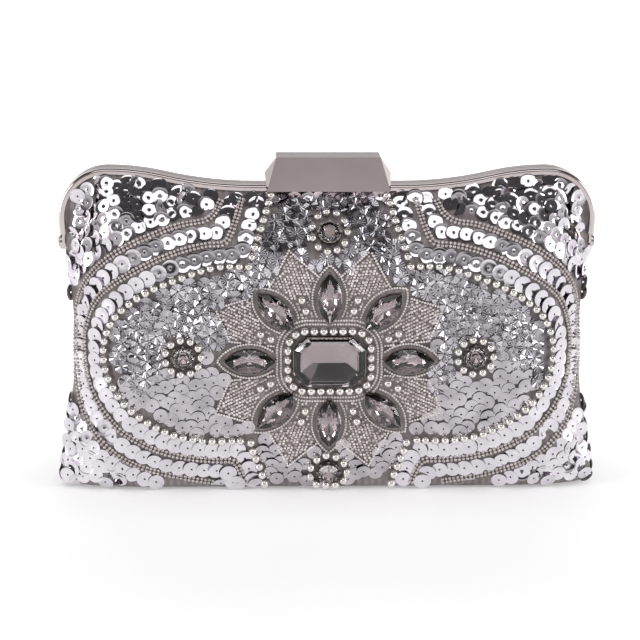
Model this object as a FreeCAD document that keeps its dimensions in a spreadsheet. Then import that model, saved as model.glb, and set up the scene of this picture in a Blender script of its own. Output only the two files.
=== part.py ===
"""Framed evening bag: a padded, lined pouch held by a two-part metal frame with a faceted snap clasp.

+X runs to the right as the decorated front is seen, -Y points out of that front, +Z is up, and the
origin is the middle of the flat base. The front half of the frame is fixed to the pouch. The rear half
swings back on two side rivets, and the rear panel folds along a soft band below it. All sizes are
millimetres.
"""

import FreeCAD, Part
import math
import os

V = FreeCAD.Vector
DOC = FreeCAD.newDocument("EveningBag")

# ---------------------------------------------------------------- driving dimensions
SHEET = DOC.addObject("Spreadsheet::Sheet", "Dims")
DRIVING = [
    # pouch outline, seen from the front
    ("waist_half", 102.8), ("waist_height", 60.0), ("waist_flare", 0.0021), ("corner_round", 9.0),
    ("base_round", 5.0), ("channel_half", 106.0), ("base_gap", 1.2), ("foot_rise", 0.8),
    # pouch depth
    ("belly_depth", 25.4), ("base_share", 0.78), ("belly_height", 50.0), ("edge_depth", 5.4),
    ("gusset_growth", 7.6), ("side_roll", 40.0), ("top_roll", 38.0), ("lip_drop", 2.8), ("side_lip", 0.5),
    # layers of a panel
    ("cover_thick", 0.7), ("foam_edge", 1.0), ("foam_mid", 3.6), ("board_thick", 0.9),
    ("lining_thick", 0.5), ("layer_gap", 0.1),
    # frame
    ("crown_height", 123.6), ("flat_run", 30.0), ("dip_radius", 160.0), ("swell_radius", 102.0),
    ("swell_angle", 13.0), ("shoulder_radius", 19.8), ("arm_radius", 60.0), ("arm_angle", 7.0),
    ("rail_depth", 6.0), ("rail_height", 2.4), ("rail_wall", 0.7), ("rail_split", 0.4),
    ("rail_round", 1.1), ("cord_radius", 0.35), ("panel_inset", 1.95),
    # side hinge
    ("hinge_height", 99.5), ("ear_radius", 3.2), ("ear_thick", 1.0), ("front_ear_inner", 106.3),
    ("rear_ear_inner", 107.4), ("pin_radius", 1.0), ("pin_clearance", 0.05), ("head_radius", 2.1),
    ("head_thick", 0.65), ("ear_arm_long", 6.5), ("ear_arm_deep", 5.8), ("lug_outer", 108.2),
    ("lug_rise", 4.5), ("lug_tall", 2.2), ("lug_gap", 0.6),
    # rear fold band
    ("fold_low", 91.0), ("fold_high", 114.0), ("fold_gap", 0.3), ("fold_thick", 1.6),
    # clasp
    ("clasp_base", 121.6), ("clasp_top", 135.0), ("clasp_kink", 127.8), ("clasp_half", 25.6),
    ("clasp_front_half", 24.9), ("clasp_top_half", 21.0), ("clasp_depth", 10.8),
    ("clasp_top_depth", 7.2), ("clasp_split", 0.1), ("screw_offset", 17.0), ("screw_radius", 0.9),
    ("screw_head", 1.5), ("tongue_half", 6.0), ("tongue_low", 127.0), ("tongue_thick", 1.4),
    ("tongue_reach", 4.2), ("plunger_radius", 1.4), ("plunger_low", 128.65),
    ("plunger_long", 2.9), ("plunger_depth", 3.0), ("spring_long", 1.7), ("spring_wire", 0.2),
    # base
    ("base_thick", 1.0), ("board_half", 84.0), ("board_deep", 24.0), ("base_board", 2.0),
    # jewels
    ("flower_height", 55.5), ("gem_half", 13.4), ("gem_rise", 9.4), ("gem_corner", 5.0),
    ("gem_tall", 5.2), ("gem_seat", 1.3), ("navette_long", 19.0), ("navette_wide", 9.4),
    ("navette_tall", 4.0), ("chaton_radius", 4.1), ("chaton_tall", 3.6), ("pearl_radius", 1.8),
    ("lowest_seat", 3.2), ("claw_thick", 0.45),
]
for row, (alias, value) in enumerate(DRIVING, start=1):
    SHEET.set("A%d" % row, alias)
    SHEET.set("B%d" % row, str(value))
    SHEET.setAlias("B%d" % row, alias)
DOC.recompute()


class Dims:
    """The driving dimensions, read from the sheet by their aliases."""

    def __init__(self):
        for name, _ in DRIVING:
            setattr(self, name, float(SHEET.get(name)))


D = Dims()
SUBPARTS = []


def bind(obj, **cells):
    """Binds properties of an object to expressions on the sheet, such as Radius="pin_radius"."""
    for prop, text in cells.items():
        words = text.split(" ")
        obj.setExpression(prop, " ".join("Dims." + w if hasattr(D, w) else w for w in words))
    return obj


def keep(obj, label):
    """Marks a document object as a finished sub-part, whose Label names its file."""
    obj.Label = label
    SUBPARTS.append(obj)
    return obj


def solid_feature(label, shape):
    """A sub-part whose shape comes straight from Part's functions."""
    obj = DOC.addObject("Part::Feature", "f_" + label)
    obj.Shape = shape
    return keep(obj, label)


def tool_feature(name, shape):
    """A helper shape that a later boolean uses up."""
    obj = DOC.addObject("Part::Feature", name)
    obj.Shape = shape
    return obj


def boolean(kind, name, base, tool):
    """Part::Cut, Part::Fuse or Part::Common of two document objects."""
    obj = DOC.addObject(kind, name)
    obj.Base, obj.Tool = base, tool
    return obj


def fuse_all(name, members):
    """One object that joins several."""
    obj = DOC.addObject("Part::MultiFuse", name)
    obj.Shapes = members
    return obj


def cylinder(name, radius, height, base, axis=V(0, 0, 1)):
    """A Part::Cylinder whose radius and height are expressions and whose foot stands at base."""
    obj = bind(DOC.addObject("Part::Cylinder", name), Radius=radius, Height=height)
    obj.Placement = FreeCAD.Placement(base, FreeCAD.Rotation(V(0, 0, 1), axis))
    return obj


def block(name, length, width, height, corner):
    """A Part::Box with its sizes as expressions and its lowest corner at corner."""
    obj = bind(DOC.addObject("Part::Box", name), Length=length, Width=width, Height=height)
    obj.Placement.Base = corner
    return obj


# ---------------------------------------------------------------- frame curve
def frame_runs(inset):
    """The right half of the frame's outer line, moved in by inset, as start, middle and end points."""
    plan = [
        (D.dip_radius + inset, D.swell_angle),
        (D.swell_radius - inset, -D.swell_angle),
        (D.shoulder_radius - inset, -90.0),
        (D.arm_radius - inset, -D.arm_angle),
    ]
    here = V(D.flat_run, 0, D.crown_height - inset)
    runs = [("line", V(0, 0, here.z), here)]
    heading = 0.0
    for radius, turn in plan:
        side = 1 if turn > 0 else -1
        centre = here + V(-math.sin(heading), 0, math.cos(heading)) * radius * side
        points = []
        for share in (0.5, 1.0):
            angle = heading + math.radians(turn) * share
            points.append(centre - V(-math.sin(angle), 0, math.cos(angle)) * radius * side)
        runs.append(("arc", here, points[0], points[1], centre, radius, side))
        here, heading = points[1], heading + math.radians(turn)
    return runs


def mirrored(point):
    return V(-point.x, point.y, point.z)


def frame_wire(inset, y):
    """The whole frame line from the left hinge over the crown to the right hinge, in the plane of y."""
    shift = V(0, y, 0)
    right, left = [], []
    for run in frame_runs(inset):
        if run[0] == "line":
            continue
        start, middle, end = (p + shift for p in run[1:4])
        right.append(Part.Arc(start, middle, end).toShape())
        left.insert(0, Part.Arc(mirrored(end), mirrored(middle), mirrored(start)).toShape())
    flat = D.flat_run
    height = D.crown_height - inset
    middle_edge = Part.LineSegment(V(-flat, y, height), V(flat, y, height)).toShape()
    return Part.Wire(left + [middle_edge] + right)


def frame_height(x, inset):
    """Height of the frame's line over x, moved in by inset. Past the shoulder it stays on the arc."""
    x = abs(x)
    runs = frame_runs(inset)
    if x <= D.flat_run:
        return D.crown_height - inset
    for run in runs[1:4]:
        start, end, centre, radius, side = run[1], run[3], run[4], run[5], run[6]
        if start.x <= x <= end.x or run is runs[3]:
            across = min(abs(x - centre.x), radius)
            return centre.z - side * math.sqrt(radius * radius - across * across)
    return D.crown_height - inset


# ---------------------------------------------------------------- pouch surface
def smooth(t):
    t = max(0.0, min(1.0, t))
    return t * t * (3 - 2 * t)


def round_under(z, radius):
    """How far a rounded lower edge has drawn in at height z."""
    low = min(radius, max(0.0, radius - z))
    return radius - math.sqrt(radius * radius - low * low)


def half_width(z):
    """Half the pouch's width at height z: a waist, flared corners and a straight edge in the frame."""
    flare = D.waist_half + D.waist_flare * (z - D.waist_height) ** 2
    width = flare + (D.channel_half - flare) * smooth((z - 96.0) / 8.0)
    return width - round_under(z, D.corner_round)


def edge_half_depth(z):
    """Half the pouch's depth along its side edge: it grows from the hinge down to the base."""
    return D.edge_depth + D.gusset_growth * max(0.0, (98.0 - z) / 98.0)


def rail_distance(x, z):
    """How far inside the frame's outer line the point x, z lies."""
    swell = frame_runs(0)[2]
    shoulder_x, shoulder_z = swell[3].x, swell[3].z - D.shoulder_radius
    if abs(x) <= shoulder_x:
        return frame_height(x, 0) - z
    across = abs(x) - shoulder_x
    up = z - shoulder_z
    return D.shoulder_radius - math.hypot(across, max(0.0, up)) + max(0.0, -up)


def roll(distance, reach, power, lift):
    share = max(0.0, min(1.0, distance / reach))
    return (1 - (1 - share) ** power) ** lift


def fullness(x, z):
    """From 0 at the edges of a panel to 1 on its belly."""
    side_lip = D.side_lip * smooth((z - 97.0) / 6.0)
    side = roll(half_width(z) - abs(x) - side_lip, D.side_roll, 3.0, 0.95)
    top = roll(rail_distance(x, z) - D.lip_drop, D.top_roll, 2.4, 1.0)
    return side * top


def depth(x, z):
    """How far the outer cover stands in front of the middle plane at x, z."""
    low = max(0.0, 1 - z / D.belly_height)
    belly = D.belly_depth * (D.base_share + (1 - D.base_share) * (1 - low * low))
    edge = edge_half_depth(z)
    return edge + (belly - edge) * fullness(x, z) - round_under(z, D.base_round)


def place(u, v, low, high):
    """The x and z of a panel's own coordinates: u from -1 to 1 across it, v from 0 to 1 up it."""
    z = low + v * (D.crown_height - low)
    for _ in range(30):
        x = u * half_width(z)
        z = low + v * (high(x) - low)
    return x, z


def panel_surface(side, low, high, inset, columns, rows):
    """A smooth face of the panel, inset(x, z) behind its outer cover. side is -1 in front, 1 behind."""
    grid = []
    rise = D.foot_rise if low < D.waist_height else 0.0
    for i in range(columns):
        u = math.sin(math.pi / 2 * (2.0 * i / (columns - 1) - 1))
        line = []
        for j in range(rows):
            v = 0.5 - 0.5 * math.cos(math.pi * j / (rows - 1.0))
            x, z = place(u, v, low, high)
            back = inset(x, z)
            line.append(V(x - u * back, side * (depth(x, z) - back), z + back * (1 - v) * rise))
        grid.append(line)
    surface = Part.BSplineSurface()
    surface.interpolate(grid)
    return surface


def closed_between(outer, inner):
    """The closed solid between two panel faces."""
    faces = [outer.toShape(), inner.toShape()]
    for name, ends in (("uIso", outer.bounds()[:2]), ("vIso", outer.bounds()[2:])):
        for k, at in enumerate(ends):
            other = (inner.bounds()[:2] if name == "uIso" else inner.bounds()[2:])[k]
            first = getattr(outer, name)(at).toShape()
            second = getattr(inner, name)(other).toShape()
            faces.append(Part.makeRuledSurface(first, second))
    shell = Part.makeShell(faces)
    shell.sewShape()
    solid = Part.makeSolid(Part.Shell(shell.Faces))
    if solid.Volume < 0:
        solid.reverse()
    return solid


def panel_layer(side, low, high, near, far, columns=29, rows=23):
    return closed_between(
        panel_surface(side, low, high, near, columns, rows),
        panel_surface(side, low, high, far, columns, rows),
    )


def foam_thickness(x, z):
    return D.foam_edge + (D.foam_mid - D.foam_edge) * fullness(x, z)


def layer_limits():
    """Inset of each layer's near and far face, from the cover inwards."""
    gap = D.layer_gap
    cover = D.cover_thick
    board = D.board_thick
    lining = D.lining_thick

    def after_foam(x, z):
        return cover + gap + foam_thickness(x, z)

    return {
        "cover": (lambda x, z: 0.0, lambda x, z: cover),
        "foam": (lambda x, z: cover + gap, after_foam),
        "board": (lambda x, z: after_foam(x, z) + gap, lambda x, z: after_foam(x, z) + gap + board),
        "lining": (
            lambda x, z: after_foam(x, z) + 2 * gap + board,
            lambda x, z: after_foam(x, z) + 2 * gap + board + lining,
        ),
    }


LAYERS = layer_limits()


def under_frame(x):
    return frame_height(x, D.panel_inset)


def make_front_panel():
    for name, (near, far) in LAYERS.items():
        solid_feature("front_" + name, panel_layer(-1, D.base_gap, under_frame, near, far))


def make_rear_panel():
    """Stiffened up to the fold. Above it a soft band, then the strip held in the rear rail."""
    for name, (near, far) in LAYERS.items():
        solid_feature(
            "rear_" + name,
            panel_layer(1, D.base_gap, lambda x: D.fold_low, near, far, rows=19),
        )
    low, high, gap = D.fold_low + D.fold_gap, D.fold_high - D.fold_gap, D.layer_gap
    solid_feature(
        "rear_fold_band",
        panel_layer(1, low, lambda x: high, lambda x, z: 0.0, lambda x, z: D.fold_thick, rows=9),
    )
    cover, lining = D.cover_thick, D.lining_thick
    solid_feature(
        "rear_top_band",
        panel_layer(1, D.fold_high, under_frame, lambda x, z: 0.0, lambda x, z: cover, rows=9),
    )
    foam_back = cover + gap + 1.6
    solid_feature(
        "rear_top_foam",
        panel_layer(
            1, D.fold_high, under_frame,
            lambda x, z: cover + gap, lambda x, z: foam_back, rows=9,
        ),
    )
    solid_feature(
        "rear_top_lining",
        panel_layer(
            1, D.fold_high, under_frame,
            lambda x, z: foam_back + gap, lambda x, z: foam_back + gap + lining, rows=9,
        ),
    )


def make_slip_pocket():
    """A flat pocket on the rear lining, closed at its sides and foot and open at the top."""
    near = LAYERS["lining"][1]
    pocket_low, pocket_high, pocket_half = 22.0, 72.0, 46.0

    def face(back):
        grid = []
        for i in range(9):
            x = pocket_half * (i / 4.0 - 1)
            line = []
            for j in range(7):
                z = pocket_low + (pocket_high - pocket_low) * j / 6.0
                line.append(V(x, depth(x, z) - near(x, z) - back, z))
            grid.append(line)
        surface = Part.BSplineSurface()
        surface.interpolate(grid)
        return surface

    solid_feature("slip_pocket", closed_between(face(1.0), face(1.6)))


def make_gussets():
    """Side walls between the panels: an outer cloth folded inwards, and its lining behind it."""
    stack = D.cover_thick + D.foam_edge + D.board_thick + D.lining_thick + 3 * D.layer_gap
    top = 92.0

    def face(hand, behind):
        grid = []
        for i in range(9):
            w = i / 4.0 - 1
            line = []
            for j in range(15):
                z = D.base_gap + (top - D.base_gap) * j / 14.0
                reach = edge_half_depth(z) - stack - 0.25
                fold = 0.35 * reach * (1 - w * w)
                line.append(V(hand * (half_width(z) - 1.2 - fold - behind), w * reach, z))
            grid.append(line)
        surface = Part.BSplineSurface()
        surface.interpolate(grid)
        return surface

    for hand, name in ((-1, "left"), (1, "right")):
        cloth, gap, lining = D.cover_thick, D.layer_gap, D.lining_thick
        outer = closed_between(face(hand, 0.0), face(hand, cloth))
        inner = closed_between(face(hand, cloth + gap), face(hand, cloth + gap + lining))
        solid_feature(name + "_gusset", outer)
        solid_feature(name + "_gusset_lining", inner)


# ---------------------------------------------------------------- base
def base_outline(z, shrink):
    """The pouch's footprint at height z, drawn in by shrink, as a closed wire."""
    half = half_width(z) - shrink
    front = [V(half * math.sin(math.pi / 2 * k / 8.0), 0, 0) for k in range(-8, 9)]
    points = [V(p.x, -(depth(p.x, z) - shrink), 0) for p in front]
    curve = Part.BSplineCurve()
    curve.interpolate(points)
    back = Part.BSplineCurve()
    back.interpolate([V(p.x, -p.y, 0) for p in reversed(points)])
    left = Part.LineSegment(V(points[0].x, -points[0].y, 0), points[0])
    right = Part.LineSegment(points[-1], V(points[-1].x, -points[-1].y, 0))
    return Part.Wire([curve.toShape(), right.toShape(), back.toShape(), left.toShape()])


def make_base():
    foot = Part.Face(base_outline(0.2, 0.0)).extrude(V(0, 0, D.base_thick))
    solid_feature("bottom_cover", foot)
    body = DOC.addObject("PartDesign::Body", "BottomBoard")
    sketch = body.newObject("Sketcher::SketchObject", "BoardOutline")
    plane = [o for o in body.Origin.OriginFeatures if o.Role == "XY_Plane"][0]
    sketch.AttachmentSupport = (plane, [""])
    sketch.MapMode = "FlatFace"
    half, deep = D.board_half, D.board_deep / 2
    corners = [V(-half, -deep, 0), V(half, -deep, 0), V(half, deep, 0), V(-half, deep, 0)]
    for k in range(4):
        sketch.addGeometry(Part.LineSegment(corners[k], corners[(k + 1) % 4]), False)
    DOC.recompute()
    pad = bind(body.newObject("PartDesign::Pad", "BoardPad"), Length="base_board")
    pad.Profile = sketch
    DOC.recompute()
    upright = [
        "Edge%d" % (k + 1)
        for k, edge in enumerate(pad.Shape.Edges)
        if abs(edge.Vertexes[0].Z - edge.Vertexes[-1].Z) > 0.5
    ]
    rounded = body.newObject("PartDesign::Fillet", "BoardCorners")
    rounded.Base = (pad, upright)
    rounded.Radius = 6.0
    body.Tip = rounded
    body.Placement.Base = V(0, 0, D.base_gap + 0.1)
    keep(body, "bottom_board")
    lining_low = D.base_gap + 0.1 + D.base_board + D.layer_gap
    keep(
        block(
            "BottomLining", "2 * board_half - 2", "board_deep - 2", "lining_thick",
            V(-D.board_half + 1, -D.board_deep / 2 + 1, lining_low),
        ),
        "bottom_lining",
    )


# ---------------------------------------------------------------- frame
def rail_profile(side):
    """The rail's U section at the crown, open downwards, in a plane across the frame."""
    wall, tall, wide, round_by = D.rail_wall, D.rail_height, D.rail_depth, D.rail_round
    near = side * D.rail_split
    far = side * (D.rail_split + wide)
    top = D.crown_height
    inner_round = max(0.2, round_by - wall)
    step = 1 if far > near else -1

    def corner(at, toward, away, radius):
        """Quarter circle that rounds the corner at, from toward to away."""
        start, end = at + toward * radius, at + away * radius
        middle = at + (toward + away) * radius * (1 - math.sqrt(0.5))
        return start, Part.Arc(start, middle, end).toShape(), end

    across = V(0, step, 0)
    down = V(0, 0, -1)
    a, arc_a, b = corner(V(0, near, top), down, across, 0.35)
    c, arc_c, e = corner(V(0, far, top), -across, down, round_by)
    foot_far, foot_near = V(0, far, top - tall), V(0, near, top - tall)
    in_far, in_near = V(0, far - step * wall, top - tall), V(0, near + step * wall, top - tall)
    f, arc_f, g = corner(V(0, far - step * wall, top - wall), down, -across, inner_round)
    h, arc_h, i = corner(V(0, near + step * wall, top - wall), across, down, 0.2)

    def line(p, q):
        return Part.LineSegment(p, q).toShape()

    return Part.Wire(
        [
            line(foot_near, a), arc_a, line(b, c), arc_c, line(e, foot_far),
            line(foot_far, in_far), line(in_far, f), arc_f, line(g, h), arc_h,
            line(i, in_near), line(in_near, foot_near),
        ]
    )


def frame_rail(side):
    """The rail's section swept from the crown to the left end and to the right end, and joined."""
    start = V(0, 0, D.crown_height)
    halves = []
    for hand in (-1, 1):
        arcs = [e for e in frame_wire(0.0, 0.0).Edges if e.CenterOfMass.x * hand > 1]
        flat = Part.LineSegment(start, V(hand * D.flat_run, 0, start.z)).toShape()
        spine = Part.Wire([flat] + arcs[::hand])
        halves.append(spine.makePipeShell([rail_profile(side)], True, False))
    return halves[0].fuse(halves[1]).removeSplitter()


def ear_plate(name, side, inner):
    """The flat ear round the rivet and the lug that joins it to the end of the rail."""
    high = D.hinge_height
    arm_y = 0.0 if side > 0 else -D.ear_arm_deep
    lug_y = D.lug_gap if side > 0 else -D.ear_arm_deep
    inner_alias = "front_ear_inner" if side < 0 else "rear_ear_inner"
    pieces = []
    for hand in (-1, 1):
        tag = name + ("L" if hand < 0 else "R")
        ear_x = inner if hand > 0 else -inner - D.ear_thick
        lug_x = inner if hand > 0 else -D.lug_outer
        disc = cylinder(tag + "Disc", "ear_radius", "ear_thick", V(ear_x, 0, high), V(1, 0, 0))
        arm = block(tag + "Arm", "ear_thick", "ear_arm_deep", "ear_arm_long", V(ear_x, arm_y, high + 0.2))
        lug = block(
            tag + "Lug", "lug_outer - " + inner_alias, "ear_arm_deep - lug_gap", "lug_tall",
            V(lug_x, lug_y, high + D.lug_rise),
        )
        pieces += [disc, arm, lug]
    return pieces


def make_frame_half(label, side, inner):
    rail = tool_feature(label + "_rail", frame_rail(side))
    whole = fuse_all(label + "_whole", [rail] + ear_plate(label, side, inner))
    cutters = []
    for hand in (-1, 1):
        tag = label + ("L" if hand < 0 else "R")
        cutters.append(
            cylinder(
                tag + "PinHole", "pin_radius + pin_clearance", "8",
                V(hand * D.front_ear_inner - 4, 0, D.hinge_height), V(1, 0, 0),
            )
        )
        cutters.append(
            cylinder(
                tag + "ScrewHole", "screw_radius + 0.1", "4",
                V(hand * D.screw_offset, side * (D.rail_split + D.rail_depth / 2), D.crown_height - 3),
            )
        )
    holes = fuse_all(label + "_holes", cutters)
    return keep(boolean("Part::Cut", label, whole, holes), label)


def make_frame_cord(label, side):
    """The paper cord that wedges the cloth into the rail."""
    y = side * (D.rail_split + D.rail_depth / 2)
    inset = D.rail_wall + 0.15 + D.cord_radius
    path = frame_wire(inset, y)
    start = path.OrderedVertexes[0].Point
    tangent = path.OrderedEdges[0].tangentAt(path.OrderedEdges[0].FirstParameter)
    ring = Part.Wire(Part.makeCircle(D.cord_radius, start, tangent))
    cord = path.makePipeShell([ring], True, False)
    above_lugs = D.hinge_height + D.lug_rise + D.lug_tall + 0.8
    cord = cord.common(Part.makeBox(300, 20, 60, V(-150, -10, above_lugs)))
    reach = D.screw_head + 0.3
    for hand in (-1, 1):
        gap = Part.makeBox(2 * reach, 4, 4, V(hand * D.screw_offset - reach, y - 2, D.crown_height - 4))
        cord = cord.cut(gap)
    solid_feature(label, cord)


def make_rivets():
    for hand, label in ((-1, "hinge_rivet_left"), (1, "hinge_rivet_right")):
        tag = "Rivet" + ("L" if hand < 0 else "R")
        out = V(hand, 0, 0)
        inner = V(hand * (D.front_ear_inner - 0.1 - D.head_thick), 0, D.hinge_height)
        shank = cylinder(
            tag + "Shank", "pin_radius", "rear_ear_inner - front_ear_inner + ear_thick + head_thick + 0.5",
            inner, out,
        )
        head = cylinder(tag + "Head", "head_radius", "head_thick", inner, out)
        far = V(hand * (D.rear_ear_inner + D.ear_thick + 0.1), 0, D.hinge_height)
        tail = cylinder(tag + "Tail", "head_radius", "head_thick", far, out)
        keep(fuse_all(tag, [shank, head, tail]), label)


# ---------------------------------------------------------------- clasp
def faceted_half(side):
    """Half of the cut clasp block: a leaning front, a flat top and three facets on each flank."""
    near, base, top = side * D.clasp_split, D.clasp_base, D.clasp_top
    faces = []
    corners = {}
    for hand in (-1, 1):
        corners[hand] = {
            "low": V(hand * D.clasp_half, near, base),
            "kink": V(hand * D.clasp_half, near, D.clasp_kink),
            "peak": V(hand * D.clasp_top_half, near, top),
            "toe": V(hand * D.clasp_front_half, side * D.clasp_depth, base),
            "brow": V(hand * D.clasp_top_half, side * D.clasp_top_depth, top),
        }
        c = corners[hand]
        for trio in (("low", "kink", "toe"), ("kink", "brow", "toe"), ("kink", "peak", "brow")):
            loop = [c[k] for k in trio]
            faces.append(Part.Face(Part.makePolygon(loop + loop[:1])))
    left, right = corners[-1], corners[1]
    across = [
        [left["toe"], right["toe"], right["brow"], left["brow"]],
        [left["brow"], right["brow"], right["peak"], left["peak"]],
        [left["low"], right["low"], right["toe"], left["toe"]],
        [left["low"], left["kink"], left["peak"], right["peak"], right["kink"], right["low"]],
    ]
    for loop in across:
        faces.append(Part.Face(Part.makePolygon(loop + loop[:1])))
    solid = Part.makeSolid(Part.makeShell(faces))
    if solid.Volume < 0:
        solid.reverse()
    return solid


def make_clasp_cover(label, side):
    """The block saddles the rail, so its foot is cut away over it."""
    raw = tool_feature(label + "_block", faceted_half(side))
    rail_far = D.rail_split + D.rail_depth + 0.1
    low = -rail_far if side < 0 else 0.0
    saddle = block(
        label + "_saddle", "2 * clasp_half + 4", "%.4f" % rail_far, "crown_height - clasp_base + 1.05",
        V(-D.clasp_half - 2, low, D.clasp_base - 1),
    )
    cutters = [saddle]
    for hand in (-1, 1):
        cutters.append(
            cylinder(
                label + "_bore" + ("L" if hand < 0 else "R"), "screw_radius + 0.1", "5.5",
                V(hand * D.screw_offset, side * (D.rail_split + D.rail_depth / 2), D.crown_height - 0.5),
            )
        )
    if side < 0:
        cutters.append(
            block(
                label + "_pocket", "2 * tongue_half + 2", "tongue_reach + 1.5", "tongue_thick + 1.4",
                V(-D.tongue_half - 1, -D.tongue_reach - 1.5, D.tongue_low - 0.6),
            )
        )
        cutters.append(
            cylinder(
                label + "_well", "plunger_radius + pin_clearance", "plunger_long + spring_long + 0.45",
                V(0, -D.plunger_depth, D.plunger_low - 0.1),
            )
        )
    else:
        cutters.append(
            block(
                label + "_slot", "2 * tongue_half", "5", "tongue_thick",
                V(-D.tongue_half, 0, D.tongue_low),
            )
        )
    holes = fuse_all(label + "_cutters", cutters)
    return keep(boolean("Part::Cut", label, raw, holes), label)


def make_tongue():
    keep(
        block(
            "LatchTongue", "2 * tongue_half", "tongue_reach + 5", "tongue_thick",
            V(-D.tongue_half, -D.tongue_reach, D.tongue_low),
        ),
        "latch_tongue",
    )


def make_plunger():
    """A pin with a domed nose that rides over the tongue, and the coil spring behind it."""
    radius, low = D.plunger_radius, D.plunger_low
    nose = bind(DOC.addObject("Part::Sphere", "PlungerNose"), Radius="plunger_radius")
    nose.Placement.Base = V(0, -D.plunger_depth, low + radius)
    shank = cylinder(
        "PlungerShank", "plunger_radius", "plunger_long - plunger_radius",
        V(0, -D.plunger_depth, low + radius),
    )
    keep(fuse_all("Plunger", [nose, shank]), "latch_plunger")
    coil_radius = radius - D.spring_wire - 0.1
    foot = low + D.plunger_long + D.spring_wire + 0.02
    pitch = 0.45
    helix = Part.makeHelix(pitch, 1.25, coil_radius)
    start = V(coil_radius, 0, 0)
    ring = Part.Wire(Part.makeCircle(D.spring_wire, start, V(0, 1, 0)))
    coil = Part.Wire(helix.Edges).makePipeShell([ring], True, True)
    coil.translate(V(0, -D.plunger_depth, foot))
    solid_feature("latch_spring", coil)


def make_screws(label, side):
    """Two screws that hold the clasp block to the rail, headed inside the rail."""
    screws = []
    y = side * (D.rail_split + D.rail_depth / 2)
    for hand in (-1, 1):
        tag = label + ("L" if hand < 0 else "R")
        under = D.crown_height - D.rail_wall
        head = cylinder(tag + "Head", "screw_head", "0.8", V(hand * D.screw_offset, y, under - 0.85))
        shank = cylinder(tag + "Shank", "screw_radius", "5", V(hand * D.screw_offset, y, under - 0.3))
        screws.append(fuse_all(tag, [head, shank]))
    group = DOC.addObject("Part::Compound", label + "_pair")
    group.Links = screws
    return keep(group, label)


# ---------------------------------------------------------------- jewels on the front
def front_placement(x, z, lift):
    """Stands a jewel on the front cover at x, z: its own +Z points away from the cloth, +Y up."""
    step = 2.0
    slope_x = (depth(x + step, z) - depth(x - step, z)) / (2 * step)
    slope_z = (depth(x, z + step) - depth(x, z - step)) / (2 * step)
    normal = V(-slope_x, -1.0, -slope_z)
    normal.normalize()
    upward = V(0, 0, 1) - normal * normal.z
    upward.normalize()
    sideways = upward.cross(normal)
    matrix = FreeCAD.Matrix(
        sideways.x, upward.x, normal.x, 0,
        sideways.y, upward.y, normal.y, 0,
        sideways.z, upward.z, normal.z, 0,
        0, 0, 0, 1,
    )
    spot = V(x, -depth(x, z), z) + normal * lift
    return FreeCAD.Placement(spot, FreeCAD.Placement(matrix).Rotation)


def outline_loop(points, scale, height):
    loop = [V(p[0] * scale[0], p[1] * scale[1], height) for p in points]
    return Part.Wire(Part.makePolygon(loop + loop[:1]))


def cut_stone(points, levels):
    """A faceted stone: the girdle outline at each level, scaled to that level's share."""
    wires = [outline_loop(points, (sx, sy), h) for sx, sy, h in levels]
    return Part.makeLoft(wires, True, True)


def emerald_points():
    half, rise, cut = D.gem_half, D.gem_rise, D.gem_corner
    return [
        (half, -rise + cut), (half, rise - cut), (half - cut, rise), (-half + cut, rise),
        (-half, rise - cut), (-half, -rise + cut), (-half + cut, -rise), (half - cut, -rise),
    ]


def navette_points():
    """Two arcs that meet in points, as an even-sided polygon with its length along +Y."""
    long_half, wide_half = D.navette_long / 2, D.navette_wide / 2
    radius = (long_half ** 2 + wide_half ** 2) / (2 * wide_half)
    reach = math.asin(long_half / radius)
    right = []
    for k in range(5):
        angle = -reach + 2 * reach * k / 5.0
        right.append((radius * math.cos(angle) - (radius - wide_half), radius * math.sin(angle)))
    return right + [(-x, -y) for x, y in right]


def round_points(radius, count=16):
    step = 2 * math.pi / count
    return [(radius * math.cos(step * k), radius * math.sin(step * k)) for k in range(count)]


def claw(x, y, low, high):
    """A small claw that stands at the stone's edge and leans over it."""
    size = D.claw_thick
    box = Part.makeBox(2 * size, 2 * size, high - low, V(-size, -size, low))
    box.rotate(V(0, 0, 0), V(0, 0, 1), math.degrees(math.atan2(y, x)))
    box.translate(V(x, y, 0))
    return box


def cup(points, grow, low, high, claws):
    """A thin tray under a stone with claws round it."""
    size = D.claw_thick
    outer = cut_stone(points, [(grow, grow, low), (grow, grow, high)])
    inner_share = grow - 2.0 * size / max(abs(p[1]) for p in points)
    inner = cut_stone(points, [(inner_share, inner_share, low + size), (inner_share, inner_share, high + 1)])
    tray = outer.cut(inner)
    for x, y in claws:
        tray = tray.fuse(claw(x, y, low, high + 0.9))
    return tray.removeSplitter()


def posed(shape, placement, turn=0.0):
    copy = shape.copy()
    spin = FreeCAD.Placement(V(0, 0, 0), FreeCAD.Rotation(V(0, 0, 1), turn))
    copy.Placement = placement.multiply(spin)
    return copy


def flower_spots():
    """The eight navettes round the middle stone: x, height over the middle, and turn in degrees."""
    spots = [(0, 25.6, 0), (0, -25.6, 0), (32.0, 0, 90), (-32.0, 0, 90)]
    for right in (-1, 1):
        for up in (-1, 1):
            spots.append((21.6 * right, 20.4 * up, -45 * right * up))
    return spots


def medallion_spots():
    return [(-58.7, 1.8), (58.7, 1.8), (0.0, 50.4), (0.0, -46.6)]


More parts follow.
